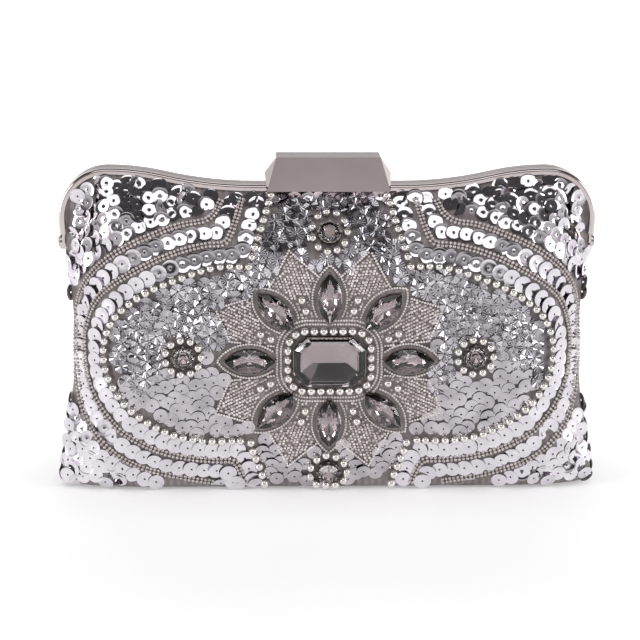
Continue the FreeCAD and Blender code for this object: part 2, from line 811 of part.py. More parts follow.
def rounded_ring(half, rise, radius, count):
    """Evenly spaced points round a rectangle with rounded corners, with the way each one faces."""
    straight_x, straight_y = half - radius, rise - radius
    quarter = math.pi / 2 * radius
    total = 4 * (straight_x + straight_y) + 4 * quarter
    spots = []
    for k in range(count):
        run = total * k / count
        legs = [
            ("h", 2 * straight_x, (-straight_x, rise), 0), ("c", quarter, (straight_x, straight_y), 90),
            ("v", 2 * straight_y, (half, straight_y), 0), ("c", quarter, (straight_x, -straight_y), 0),
            ("g", 2 * straight_x, (straight_x, -rise), 0), ("c", quarter, (-straight_x, -straight_y), -90),
            ("w", 2 * straight_y, (-half, -straight_y), 0), ("c", quarter, (-straight_x, straight_y), 180),
        ]
        for kind, long, at, first in legs:
            if run <= long:
                break
            run -= long
        if kind == "c":
            angle = math.radians(first) - run / radius
            spots.append((at[0] + radius * math.cos(angle), at[1] + radius * math.sin(angle)))
        else:
            way = {"h": (1, 0), "v": (0, -1), "g": (-1, 0), "w": (0, 1)}[kind]
            spots.append((at[0] + way[0] * run, at[1] + way[1] * run))
    return spots


def pearl_at(x, z):
    """A pearl that rests on the front cover at x, z."""
    spot = front_placement(x, max(z, D.lowest_seat), D.pearl_radius + 0.15).Base
    return Part.makeSphere(D.pearl_radius, spot)


def make_center_stone():
    high = D.gem_seat
    tall = D.gem_tall
    stone = cut_stone(
        emerald_points(),
        [(0.72, 0.62, high + 0.5), (1.0, 1.0, high + 1.9), (1.0, 1.0, high + 2.3),
         (0.88, 0.84, high + tall * 0.72), (0.72, 0.64, high + tall)],
    )
    seat = front_placement(0, D.flower_height, 0.15)
    solid_feature("center_crystal", posed(stone, seat))
    half, rise, cut = D.gem_half + 0.4, D.gem_rise + 0.4, D.gem_corner / 2
    claws = [(sx * (half - cut), sy * (rise - cut)) for sx in (-1, 1) for sy in (-1, 1)]
    tray = cup(emerald_points(), 1.09, 0.0, high + 1.8, [(1.05 * x, 1.05 * y) for x, y in claws])
    solid_feature("center_setting", posed(tray, seat))
    ring = [pearl_at(x, D.flower_height + y) for x, y in rounded_ring(16.6, 12.2, 7.0, 27)]
    solid_feature("center_pearl_ring", Part.makeCompound(ring))


def make_navettes():
    stone = cut_stone(
        navette_points(),
        [(0.55, 0.62, 0.7), (1.0, 1.0, 1.5), (1.0, 1.0, 1.8), (0.5, 0.55, D.navette_tall)],
    )
    reach = D.navette_long / 2
    tray = cup(navette_points(), 1.13, 0.0, 1.35, [(0, reach + 0.55), (0, -reach - 0.55)])
    stones, trays = [], []
    for x, up, turn in flower_spots():
        seat = front_placement(x, D.flower_height + up, 0.15)
        stones.append(posed(stone, seat, turn))
        trays.append(posed(tray, seat, turn))
    solid_feature("marquise_crystals", Part.makeCompound(stones))
    solid_feature("marquise_settings", Part.makeCompound(trays))


def make_petal_pearls():
    pairs = [(11.2, 25.0), (9.6, 20.6), (27.6, 11.2), (23.6, 9.2)]
    pearls = []
    for x, up in pairs:
        for right in (-1, 1):
            for high in (-1, 1):
                pearls.append(pearl_at(x * right, D.flower_height + up * high))
    solid_feature("petal_pearls", Part.makeCompound(pearls))


def make_medallions():
    radius, tall = D.chaton_radius, D.chaton_tall
    stone = cut_stone(
        round_points(1.0),
        [(0.35 * radius, 0.35 * radius, 0.6), (radius, radius, 2.0), (radius, radius, 2.3),
         (0.6 * radius, 0.6 * radius, tall)],
    )
    claws = [(p[0] * (radius + 0.35), p[1] * (radius + 0.35)) for p in round_points(1.0, 8)]
    outer = Part.makeCylinder(radius + 0.5, 1.9)
    inner = Part.makeCylinder(radius + 0.1, 3, V(0, 0, 0.4))
    tray = outer.cut(inner)
    for x, y in claws:
        tray = tray.fuse(claw(x, y, 0.0, 2.9).cut(Part.makeCylinder(radius + 0.05, 3, V(0, 0, 0.4))))
    stones, trays, pearls = [], [], []
    for x, up in medallion_spots():
        z = D.flower_height + up
        seat = front_placement(x, z, 0.15)
        stones.append(posed(stone, seat))
        trays.append(posed(tray, seat))
        for px, py in round_points(7.1, 11):
            pearls.append(pearl_at(x + px, z + py))
    solid_feature("medallion_crystals", Part.makeCompound(stones))
    solid_feature("medallion_settings", Part.makeCompound(trays))
    solid_feature("medallion_pearls", Part.makeCompound(pearls))


# ---------------------------------------------------------------- build and write
def check_and_write():
    DOC.recompute()
    for obj in DOC.Objects:
        if "Invalid" in obj.State or "Error" in obj.State:
            raise RuntimeError("%s failed: %s" % (obj.Label, obj.State))
    os.makedirs("parts", exist_ok=True)
    for old in os.listdir("parts"):
        os.remove(os.path.join("parts", old))
    for obj in SUBPARTS:
        shape = obj.Shape
        if shape.isNull() or not shape.isValid() or not shape.Solids:
            raise RuntimeError("%s has no valid solid" % obj.Label)
        shape.exportStep("parts/%s.step" % obj.Label)
        print("%-22s solids %3d  volume %9.1f" % (obj.Label, len(shape.Solids), shape.Volume))


def build():
    make_base()
    make_front_panel()
    make_rear_panel()
    make_slip_pocket()
    make_gussets()
    make_frame_half("front_frame", -1, D.front_ear_inner)
    make_frame_half("rear_frame", 1, D.rear_ear_inner)
    make_frame_cord("front_frame_cord", -1)
    make_frame_cord("rear_frame_cord", 1)
    make_rivets()
    make_clasp_cover("clasp_front_cover", -1)
    make_clasp_cover("clasp_rear_cover", 1)
    make_tongue()
    make_plunger()
    make_screws("clasp_front_screws", -1)
    make_screws("clasp_rear_screws", 1)
    make_center_stone()
    make_navettes()
    make_petal_pearls()
    make_medallions()
    check_and_write()


build()
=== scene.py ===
import itertools
import math
import random

import bpy
import numpy as np
from mathutils import Matrix, Vector
from mathutils.bvhtree import BVHTree


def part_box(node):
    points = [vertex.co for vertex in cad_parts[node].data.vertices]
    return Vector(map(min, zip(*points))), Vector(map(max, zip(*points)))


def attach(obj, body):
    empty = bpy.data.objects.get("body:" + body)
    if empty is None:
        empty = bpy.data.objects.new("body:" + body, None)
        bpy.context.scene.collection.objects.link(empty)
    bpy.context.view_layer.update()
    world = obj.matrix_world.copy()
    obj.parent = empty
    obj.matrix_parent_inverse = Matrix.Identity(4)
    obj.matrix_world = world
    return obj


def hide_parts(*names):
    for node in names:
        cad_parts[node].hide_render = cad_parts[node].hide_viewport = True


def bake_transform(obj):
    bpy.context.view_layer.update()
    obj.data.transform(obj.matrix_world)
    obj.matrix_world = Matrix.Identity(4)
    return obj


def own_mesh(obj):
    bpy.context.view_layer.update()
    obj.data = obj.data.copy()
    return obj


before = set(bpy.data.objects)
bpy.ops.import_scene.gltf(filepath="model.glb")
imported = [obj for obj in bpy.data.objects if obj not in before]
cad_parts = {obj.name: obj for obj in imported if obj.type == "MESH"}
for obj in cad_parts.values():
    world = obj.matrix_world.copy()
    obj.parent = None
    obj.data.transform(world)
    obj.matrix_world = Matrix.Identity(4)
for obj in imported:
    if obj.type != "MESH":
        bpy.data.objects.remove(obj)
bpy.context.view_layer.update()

MM = 0.001
rng = random.Random(41)
nrng = np.random.default_rng(41)


# ---- sizes, in millimetres
def mm_box(node):
    low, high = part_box(node)
    return np.array(low) / MM, np.array(high) / MM


BELLY = -mm_box("front_cover")[0][1]
SHOULDER_TOP = mm_box("front_frame")[1][2]
FLAT_RUN = 30.0
DIP_R, SWELL_R, SHOULDER_R, SWELL_ANGLE = 160.0, 102.0, 19.8, 13.0
CROWN = SHOULDER_TOP - (DIP_R + SWELL_R) * (1 - math.cos(math.radians(SWELL_ANGLE)))
WAIST_HALF, WAIST_Z, WAIST_FLARE = 102.8, 60.0, 0.0021
CHANNEL_HALF, CORNER_R, BASE_R = 106.0, 9.0, 5.0
BASE_SHARE, BELLY_Z, EDGE_DEPTH, GUSSET_GROWTH = 0.78, 50.0, 5.4, 7.6
SIDE_ROLL, TOP_ROLL, LIP_DROP, SIDE_LIP = 40.0, 38.0, 2.8, 0.5
PANEL_INSET, BASE_GAP = 1.95, 1.2
FLOWER = sum(corner[2] for corner in mm_box("center_crystal")) / 2
SKIN_LIFT = 0.08


# ---- pouch surface
def smooth(t):
    t = np.clip(t, 0.0, 1.0)
    return t * t * (3 - 2 * t)


def round_under(z, radius):
    low = np.clip(radius - z, 0.0, radius)
    return radius - np.sqrt(radius * radius - low * low)


def half_width(z):
    flare = WAIST_HALF + WAIST_FLARE * (z - WAIST_Z) ** 2
    return flare + (CHANNEL_HALF - flare) * smooth((z - 96.0) / 8.0) - round_under(z, CORNER_R)


def edge_half_depth(z):
    return EDGE_DEPTH + GUSSET_GROWTH * np.maximum(0.0, (98.0 - z) / 98.0)


def swell_points():
    """Where the frame's dip and swell arcs end along x, and the height of the shoulder's top."""
    turn = math.radians(SWELL_ANGLE)
    dip_end = FLAT_RUN + DIP_R * math.sin(turn)
    shoulder_x = dip_end + SWELL_R * math.sin(turn)
    top = CROWN + (DIP_R + SWELL_R) * (1 - math.cos(turn))
    return dip_end, shoulder_x, top


DIP_END, SHOULDER_X, SHOULDER_TOP_Z = swell_points()
SHOULDER_Z = SHOULDER_TOP_Z - SHOULDER_R


def frame_height(x, inset=0.0):
    x = np.abs(x)
    flat = np.full_like(x, CROWN - inset, dtype=float)
    dip_r, swell_r, end_r = DIP_R + inset, SWELL_R - inset, SHOULDER_R - inset
    dip = CROWN - inset + dip_r - np.sqrt(np.maximum(dip_r**2 - np.maximum(x - FLAT_RUN, 0) ** 2, 0))
    swell_z = SHOULDER_TOP_Z - SWELL_R
    swell = swell_z + np.sqrt(np.maximum(swell_r**2 - (x - SHOULDER_X) ** 2, 0))
    end = SHOULDER_Z + np.sqrt(np.maximum(end_r**2 - np.maximum(x - SHOULDER_X, 0) ** 2, 0))
    return np.where(x <= FLAT_RUN, flat, np.where(x <= DIP_END, dip, np.where(x <= SHOULDER_X, swell, end)))


def rail_distance(x, z):
    x = np.abs(x)
    across, up = x - SHOULDER_X, z - SHOULDER_Z
    corner = SHOULDER_R - np.hypot(across, np.maximum(0, up)) + np.maximum(0, -up)
    return np.where(x <= SHOULDER_X, frame_height(x) - z, corner)


def roll(distance, reach, power, lift):
    share = np.clip(distance / reach, 0.0, 1.0)
    return (1 - (1 - share) ** power) ** lift


def fullness(x, z):
    lip = SIDE_LIP * smooth((z - 97.0) / 6.0)
    side = roll(half_width(z) - np.abs(x) - lip, SIDE_ROLL, 3.0, 0.95)
    return side * roll(rail_distance(x, z) - LIP_DROP, TOP_ROLL, 2.4, 1.0)


def depth(x, z):
    low = np.maximum(0.0, 1 - z / BELLY_Z)
    belly = BELLY * (BASE_SHARE + (1 - BASE_SHARE) * (1 - low * low))
    edge = edge_half_depth(z)
    return edge + (belly - edge) * fullness(x, z) - round_under(z, BASE_R)


def panel_point(u, v, low=BASE_GAP, inset=PANEL_INSET):
    """x and z of a panel's own coordinates, as the CAD panel lays them out."""
    z = low + v * (CROWN - low)
    x = np.zeros_like(z)
    for _ in range(30):
        x = u * half_width(z)
        z = low + v * (frame_height(x, inset) - low)
    return x, z


# ---- small tools
def new_mesh(name, verts, faces):
    """verts in millimetres; faces as a list of index tuples."""
    mesh = bpy.data.meshes.new(name)
    mesh.from_pydata([tuple(v) for v in np.asarray(verts) * MM], [], faces)
    mesh.polygons.foreach_set("use_smooth", [True] * len(mesh.polygons))
    mesh.update()
    obj = bpy.data.objects.new(name, mesh)
    bpy.context.scene.collection.objects.link(obj)
    return obj


def thicken(obj, thick, offset=0):
    layer = obj.modifiers.new("thick", "SOLIDIFY")
    layer.thickness, layer.offset = thick * MM, offset


def grid_faces(rows, cols, wrap=False, flip=False):
    faces = []
    for r in range(rows - 1):
        for c in range(cols if wrap else cols - 1):
            a, b = r * cols + c, r * cols + (c + 1) % cols
            quad = (a, b, b + cols, a + cols)
            faces.append(quad[::-1] if flip else quad)
    return faces


def run_along(points):
    """The length along a line at each of its points."""
    return np.concatenate([[0], np.cumsum(np.linalg.norm(np.diff(points, axis=0), axis=1))])


def at_run(d, run, table):
    """The rows of table at length d along its line."""
    return np.stack([np.interp(d, run, column) for column in table.T], -1)


class Template:
    """A small mesh that is stamped many times. z is its way up off the cloth."""

    def __init__(self, verts, faces, shaded=True):
        self.v = np.array(verts, float)
        self.sizes = np.array([len(f) for f in faces])
        self.loops = np.array([i for f in faces for i in f])
        self.shaded = shaded


class Batch:
    def __init__(self, name):
        self.name, self.v, self.loops, self.sizes, self.shaded, self.count = name, [], [], [], [], 0

    def add(self, tmpl, at, axes, size=1.0):
        """axes: rows are the template's x, y and z in the row frame."""
        verts = (tmpl.v * size) @ np.asarray(axes) + np.asarray(at)
        self.v.append(verts)
        self.loops.append(tmpl.loops + self.count)
        self.sizes.append(tmpl.sizes)
        self.shaded.append(np.full(len(tmpl.sizes), tmpl.shaded))
        self.count += len(verts)

    def build(self, material):
        verts = np.concatenate(self.v) * MM
        loops, sizes = np.concatenate(self.loops), np.concatenate(self.sizes)
        mesh = bpy.data.meshes.new(self.name)
        mesh.vertices.add(len(verts))
        mesh.vertices.foreach_set("co", verts.astype(np.float32).ravel())
        mesh.loops.add(len(loops))
        mesh.loops.foreach_set("vertex_index", loops.astype(np.int32))
        mesh.polygons.add(len(sizes))
        starts = np.concatenate([[0], np.cumsum(sizes)[:-1]])
        mesh.polygons.foreach_set("loop_start", starts.astype(np.int32))
        mesh.polygons.foreach_set("use_smooth", np.concatenate(self.shaded))
        mesh.update(calc_edges=True)
        mesh.validate()
        obj = bpy.data.objects.new(self.name, mesh)
        bpy.context.scene.collection.objects.link(obj)
        obj.data.materials.append(material)
        return obj


def disc_template(rings, count, zigzag=0.0, shaded=True):
    """A round sequin: rings is a list of (radius, height) from its hole to its rim."""
    verts, faces = [], []
    for k, (radius, height) in enumerate(rings):
        for j in range(count):
            a = 2 * math.pi * j / count
            lift = zigzag * (1 if j % 2 else -1) * radius if k else 0.0
            verts.append((radius * math.cos(a), radius * math.sin(a), height + lift))
    for k in range(len(rings) - 1):
        for j in range(count):
            n = (j + 1) % count
            faces.append((k * count + j, (k + 1) * count + j, (k + 1) * count + n, k * count + n))
    return Template(verts, faces, shaded)


def ball_template(count, rings, flat=1.0):
    verts, faces = [(0, 0, -flat)], []
    for k in range(1, rings):
        b = -math.pi / 2 + math.pi * k / rings
        for j in range(count):
            a = 2 * math.pi * j / count
            verts.append((math.cos(b) * math.cos(a), math.cos(b) * math.sin(a), flat * math.sin(b)))
    verts.append((0, 0, flat))
    top = len(verts) - 1
    for j in range(count):
        n = (j + 1) % count
        faces.append((0, 1 + n, 1 + j))
        faces.append((top, 1 + (rings - 2) * count + j, 1 + (rings - 2) * count + n))
    for k in range(rings - 2):
        for j in range(count):
            n = (j + 1) % count
            a, b = 1 + k * count, 1 + (k + 1) * count
            faces.append((a + j, a + n, b + n, b + j))
    return Template(verts, faces)


def seat_axes(normal, turn=0.0, tilt=0.0, toward=None):
    """Rows x, y, z for a stamp that lies on the cloth. y points towards 'toward', tilt lifts its y end."""
    n = np.array(normal, float)
    n /= np.linalg.norm(n)
    up = np.array(toward if toward is not None else (0, 0, 1), float)
    y = up - n * (up @ n)
    if np.linalg.norm(y) < 1e-6:
        y = np.array((1.0, 0, 0))
    y /= np.linalg.norm(y)
    x = np.cross(y, n)
    if turn:
        x, y = x * math.cos(turn) + y * math.sin(turn), y * math.cos(turn) - x * math.sin(turn)
    if tilt:
        y, n = y * math.cos(tilt) + n * math.sin(tilt), n * math.cos(tilt) - y * math.sin(tilt)
    return np.array([x, y, n])


def jitter_axes(axes, degrees):
    a, b = (math.radians(rng.gauss(0, degrees)) for _ in range(2))
    x, y, n = axes
    n = n + x * math.tan(a) + y * math.tan(b)
    n /= np.linalg.norm(n)
    return seat_axes(n, toward=y)


def spline(points, step=0.3):
    """Catmull-Rom line through 2D control points, sampled about every step."""
    p = np.array(points, float)
    p = np.vstack([2 * p[0] - p[1], p, 2 * p[-1] - p[-2]])
    out = []
    for i in range(1, len(p) - 2):
        n = max(2, int(np.linalg.norm(p[i + 1] - p[i]) / step))
        for t in np.arange(n) / n:
            a = 2 * p[i] + (p[i + 1] - p[i - 1]) * t
            b = (2 * p[i - 1] - 5 * p[i] + 4 * p[i + 1] - p[i + 2]) * t * t
            c = (-p[i - 1] + 3 * p[i] - 3 * p[i + 1] + p[i + 2]) * t**3
            out.append(0.5 * (a + b + c))
    out.append(p[-2])
    return np.array(out)


def inside(points, polygon):
    """Which 2D points lie inside a polygon."""
    x, y = points[:, 0], points[:, 1]
    hit = np.zeros(len(points), bool)
    j = len(polygon) - 1
    for i in range(len(polygon)):
        xi, yi = polygon[i]
        xj, yj = polygon[j]
        if yi != yj:
            hit ^= ((yi > y) != (yj > y)) & (x < (xj - xi) * (y - yi) / (yj - yi) + xi)
        j = i
    return hit


def line_distance(points, line):
    best = np.full(len(points), 1e9)
    for k in range(0, len(line), 400):
        part = line[k : k + 400]
        d = np.hypot(points[:, None, 0] - part[None, :, 0], points[:, None, 1] - part[None, :, 1])
        best = np.minimum(best, d.min(1))
    return best


# ---- materials
def node(tree, kind, *sources, **settings):
    """A new node. sources feed its first inputs; settings are its properties or its inputs' values."""
    n = tree.nodes.new(kind)
    for key, value in settings.items():
        if hasattr(n, key):
            setattr(n, key, value)
        else:
            n.inputs[key.replace("_", " ")].default_value = value
    for socket, source in zip(n.inputs, sources):
        tree.links.new(source, socket)
    return n


def ramp(tree, source, *stops):
    """The colour that a ramp gives for source; each stop is (position, colour)."""
    mixer = node(tree, "ShaderNodeValToRGB", source)
    elements = mixer.color_ramp.elements
    while len(elements) < len(stops):
        elements.new(0.5)
    for element, (position, color) in zip(elements, stops):
        element.position, element.color = position, (*color, 1)
    return mixer.outputs["Color"]


def remap(tree, source, low, high, to_low, to_high):
    step = node(
        tree, "ShaderNodeMapRange", source, From_Min=low, From_Max=high, To_Min=to_low, To_Max=to_high,
    )
    return step.outputs["Result"]


def noise(tree, place, **settings):
    return node(tree, "ShaderNodeTexNoise", place, **settings).outputs["Fac"]


def new_material(name):
    """A material with its node tree, its shader and the object's own coordinates."""
    mat = bpy.data.materials.new(name)
    mat.use_nodes = True
    tree = mat.node_tree
    return mat, tree, tree.nodes["Principled BSDF"], node(tree, "ShaderNodeTexCoord").outputs["Object"]


def roughen(tree, height, shader, strength, distance):
    bumper = node(tree, "ShaderNodeBump", Strength=strength, Distance=distance)
    tree.links.new(height, bumper.inputs["Height"])
    tree.links.new(bumper.outputs["Normal"], shader.inputs["Normal"])


def material(name, color_a, color_b, metallic, rough_a, rough_b, scale, bump=0.0, **fixed):
    """A material whose colour and roughness drift with a noise in the object's own space."""
    mat, tree, shader, place = new_material(name)
    drift = noise(tree, place, Scale=scale, Detail=4.0)
    tree.links.new(ramp(tree, drift, (0.35, color_a), (0.65, color_b)), shader.inputs["Base Color"])
    tree.links.new(remap(tree, drift, 0.3, 0.7, rough_a, rough_b), shader.inputs["Roughness"])
    if bump:
        roughen(tree, noise(tree, place, Scale=scale * 4, Detail=3.0), shader, bump, 0.0002)
    for key, value in dict(Metallic=metallic, **fixed).items():
        shader.inputs[key.replace("_", " ")].default_value = value
    return mat


def woven(name, color_a, color_b, rough, pitch=0.00045, bump=0.35, sheen=0.3):
    """Satin: crossed thread waves that bump the surface and darken between threads."""
    mat, tree, shader, place = new_material(name)
    waves = []
    for axis, share in (("X", 1.0), ("Z", 2.2)):
        size = 0.05 / pitch / share
        wave = node(tree, "ShaderNodeTexWave", place, Scale=size, Distortion=0.6, Detail=1.0)
        wave.bands_direction = axis
        waves.append(wave.outputs["Fac"])
    both = node(tree, "ShaderNodeMath", *waves, operation="MULTIPLY").outputs[0]
    blend = node(tree, "ShaderNodeMath", both, operation="MULTIPLY_ADD")
    blend.inputs[1].default_value = 0.4
    tree.links.new(noise(tree, place, Scale=60.0, Detail=5.0), blend.inputs[2])
    color = ramp(tree, blend.outputs[0], (0.3, color_a), (0.95, color_b))
    tree.links.new(color, shader.inputs["Base Color"])
    roughen(tree, both, shader, bump, 0.00015)
    for key, value in (("Roughness", rough), ("Sheen Weight", sheen), ("Sheen Roughness", 0.4)):
        shader.inputs[key].default_value = value
    return mat


def glass(name, tint):
    """Clear smoky crystal; a slow noise varies its tint."""
    mat, tree, shader, place = new_material(name)
    color = ramp(tree, noise(tree, place, Scale=120.0), (0.0, [c * 0.92 for c in tint]), (1.0, tint))
    tree.links.new(color, shader.inputs["Base Color"])
    for key, value in (("Roughness", 0.0), ("IOR", 1.56), ("Transmission Weight", 1.0)):
        shader.inputs[key].default_value = value
    return mat


NICKEL = material("nickel", (0.58, 0.515, 0.505), (0.66, 0.59, 0.58), 1.0, 0.06, 0.12, 40.0)
SEQUIN = material("silver_sequin", (0.68, 0.645, 0.69), (0.80, 0.765, 0.81), 1.0, 0.07, 0.12, 90.0)
STAR = material("cut_sequin", (0.34, 0.325, 0.355), (0.54, 0.52, 0.56), 1.0, 0.08, 0.16, 120.0)
PLAIN = material("flat_sequin", (0.44, 0.41, 0.44), (0.62, 0.585, 0.615), 1.0, 0.12, 0.22, 120.0)
PEARL = material(
    "pearl", (0.70, 0.655, 0.625), (0.80, 0.75, 0.72), 0.8, 0.14, 0.2, 150.0,
    Coat_Weight=1.0, Coat_Roughness=0.05, Coat_IOR=1.7,
)
SEED = material(
    "seed_bead", (0.42, 0.365, 0.36), (0.62, 0.555, 0.55), 0.2, 0.12, 0.22, 700.0,
    Coat_Weight=0.8, Coat_Roughness=0.06,
)
RIM_BEAD = material(
    "rim_bead", (0.66, 0.60, 0.585), (0.82, 0.765, 0.75), 0.15, 0.14, 0.24, 500.0,
    Coat_Weight=0.8, Coat_Roughness=0.06,
)
CLAW = material("claw_metal", (0.20, 0.17, 0.155), (0.32, 0.28, 0.26), 1.0, 0.2, 0.35, 200.0)
FOIL = material("crystal_foil", (0.60, 0.555, 0.56), (0.72, 0.675, 0.68), 1.0, 0.02, 0.04, 100.0)
STEEL = material("steel", (0.50, 0.50, 0.51), (0.62, 0.62, 0.63), 1.0, 0.25, 0.4, 300.0)
BOARD = material("board", (0.36, 0.30, 0.24), (0.46, 0.40, 0.32), 0.0, 0.8, 0.9, 200.0, bump=0.3)
PAPER = material("paper_cord", (0.60, 0.50, 0.38), (0.72, 0.62, 0.50), 0.0, 0.8, 0.9, 900.0, bump=0.5)
# Partly painted shade: the cover satin has its own brown-grey, set darker still so the gaps between the
# sequins read as shaded.
SATIN_WITH_PAINTED_SHADE = woven("cover_satin", (0.12, 0.10, 0.098), (0.27, 0.235, 0.235), 0.42)
BACKING = woven("flower_felt", (0.21, 0.185, 0.182), (0.36, 0.32, 0.315), 0.7, bump=0.5, sheen=0.1)
LINING = woven("lining_satin", (0.10, 0.09, 0.092), (0.20, 0.18, 0.185), 0.4, pitch=0.0006)


CRYSTAL = glass("smoky_crystal", (0.74, 0.695, 0.71))


def wear(obj, mat):
    obj.data.materials.clear()
    obj.data.materials.append(mat)
    return obj


# ---- cloth skins
def relax(points, push, cap):
    """Cloth simulation of a pinned panel under a light pressure: how far each point comes out, in mm.

    points is (rows, cols, 3) in mm. Its border is pinned, so only the middle puffs and puckers.
    """
    rows, cols = points.shape[:2]
    obj = new_mesh("panel_sim", points.reshape(-1, 3), grid_faces(rows, cols))
    pins = obj.vertex_groups.new(name="pins")
    index = np.arange(rows * cols).reshape(rows, cols)
    border = np.concatenate([index[0], index[-1], index[1:-1, 0], index[1:-1, -1]])
    pins.add(border.tolist(), 1.0, "REPLACE")
    cloth = obj.modifiers.new("cloth", "CLOTH")
    s = cloth.settings
    s.quality = 6
    s.mass = 0.2
    s.tension_stiffness = s.compression_stiffness = 12
    s.shear_stiffness = 4
    s.bending_stiffness = 0.15
    s.vertex_group_mass = "pins"
    s.shrink_min = -0.02
    s.use_pressure = True
    s.uniform_pressure_force = push
    s.effector_weights.gravity = 0.0
    cloth.point_cache.frame_start, cloth.point_cache.frame_end = 1, 20
    scene = bpy.context.scene
    for f in range(1, 21):
        scene.frame_set(f)
    done = obj.evaluated_get(bpy.context.evaluated_depsgraph_get())
    co = np.array([v.co for v in done.data.vertices]) / MM
    normals = np.array([v.normal for v in obj.data.vertices])
    out = ((co - points.reshape(-1, 3)) * normals).sum(1)
    scene.frame_set(1)
    bpy.data.objects.remove(obj)
    return np.clip(out, -cap, cap).reshape(rows, cols)


def resample(grid, rows, cols):
    r = np.linspace(0, grid.shape[0] - 1, rows)
    c = np.linspace(0, grid.shape[1] - 1, cols)
    r0, c0 = np.minimum(r.astype(int), grid.shape[0] - 2), np.minimum(c.astype(int), grid.shape[1] - 2)
    fr, fc = smooth(r - r0)[:, None], smooth(c - c0)[None, :]
    a, b = grid[np.ix_(r0, c0)], grid[np.ix_(r0, c0 + 1)]
    d, e = grid[np.ix_(r0 + 1, c0)], grid[np.ix_(r0 + 1, c0 + 1)]
    return (a * (1 - fc) + b * fc) * (1 - fr) + (d * (1 - fc) + e * fc) * fr


def panel_sheet(side, rows, cols, back=0.0, shrink=1.0):
    """The panel's outer face as a grid (rows up, cols across). back moves it inwards."""
    u = np.sin(np.linspace(-1, 1, cols) * math.pi / 2) * shrink
    v = 0.5 - 0.5 * np.cos(np.linspace(0, 1, rows) * math.pi)
    uu, vv = np.meshgrid(u, v)
    x, z = panel_point(uu, vv)
    y = side * (depth(x, z) - back)
    return np.stack([x - uu * back, y, z + back * (1 - vv) * 0.8], axis=-1)


def grid_normals(p, side):
    du = np.gradient(p, axis=1)
    dv = np.gradient(p, axis=0)
    n = np.cross(du, dv)
    n /= np.maximum(np.linalg.norm(n, axis=-1, keepdims=True), 1e-9)
    return n if side < 0 else -n


def side_strip(side, z, edge_x, edge_y):
    """Columns that carry the cloth round the panel's edge and into the side fold, one row per z."""
    reach = edge_half_depth(z) - 0.2
    closing = smooth((z - 92.0) / 7.0)
    end_y = np.where(closing < 1, -0.15 * (1 - closing) + (-reach + 3.2) * closing, -reach + 3.2)
    columns = []
    for k in range(1, 11):
        t = k / 10.0
        y = -reach + (end_y + reach) * t
        w = y / reach
        round_edge = 1.1 * smooth(t / 0.3)
        fold = 0.35 * (reach - 3.4) * (1 - w * w) * smooth((t - 0.2) / 0.8) * (1 - closing)
        columns.append((edge_x - round_edge - fold, y))
    return columns


def build_skin(name, side, sim_push, cap):
    """One half of the outer cloth: panel, side edges, half of each side fold and the lower edge."""
    rows, cols = 101, 181
    sheet = panel_sheet(side, rows, cols)
    puff = np.zeros((rows, cols))
    coarse = panel_sheet(side, 41, 69)
    if side > 0:
        coarse = coarse[:, ::-1]
    moved = relax(coarse, sim_push, cap)
    if side > 0:
        moved = moved[:, ::-1]
    puff = resample(moved, rows, cols)
    x, z = sheet[..., 0], sheet[..., 2]
    gather = np.zeros((rows, cols))
    for wave, phase, size in ((0.62, 0.4, 0.45), (1.05, 2.1, 0.3), (0.31, 4.0, 0.35)):
        gather += size * np.sin(x * wave + phase + 0.25 * np.sin(z * 0.4))
    near_rail = smooth((rail_distance(x, z) - 2.8) / 2.5) * (1 - smooth((rail_distance(x, z) - 7.0) / 14.0))
    ease = smooth((rail_distance(x, z) - 2.6) / 5.0) * smooth((half_width(z) - np.abs(x)) / 3.0)
    if side < 0:
        calm = smooth((np.hypot(x / 1.5, z - FLOWER) - 30.0) / 14.0)
        puff *= 0.15 + 0.85 * calm
    lift = SKIN_LIFT + puff * ease + gather * near_rail * 0.8
    sheet = sheet + grid_normals(sheet, side) * lift[..., None] * np.array((1, 1, 0.5))
    left = side_strip(side, sheet[:, 0, 2], np.abs(sheet[:, 0, 0]), sheet[:, 0, 1])
    right = side_strip(side, sheet[:, -1, 2], np.abs(sheet[:, -1, 0]), sheet[:, -1, 1])
    strips_l = [np.stack([-ex, -side * y, sheet[:, 0, 2]], -1) for ex, y in left]
    strips_r = [np.stack([ex, -side * y, sheet[:, -1, 2]], -1) for ex, y in right]
    body = np.concatenate([np.stack(strips_l[::-1], 1), sheet, np.stack(strips_r, 1)], axis=1)
    first = body[0]
    wraps = []
    for inward, z_at in ((5.0, 0.12), (2.2, 0.35), (0.7, 0.8)):
        ring = first.copy()
        reach = np.minimum(np.abs(ring[:, 1]), inward)
        ring[:, 1] -= np.sign(ring[:, 1]) * reach
        ring[:, 0] -= np.sign(ring[:, 0]) * np.minimum(np.abs(ring[:, 0]) / 20.0, 1) * inward * 0.5
        ring[:, 2] = z_at
        wraps.append(ring)
    body = np.concatenate([np.stack(wraps, 0), body], axis=0)
    r, c = body.shape[:2]
    obj = new_mesh(name, body.reshape(-1, 3), grid_faces(r, c, flip=side > 0))
    wear(obj, SATIN_WITH_PAINTED_SHADE)
    return obj, body


front_skin, front_grid = build_skin("front_skin", -1, 3.0, 0.9)
rear_skin, rear_grid = build_skin("rear_skin", 1, 3.5, 1.3)


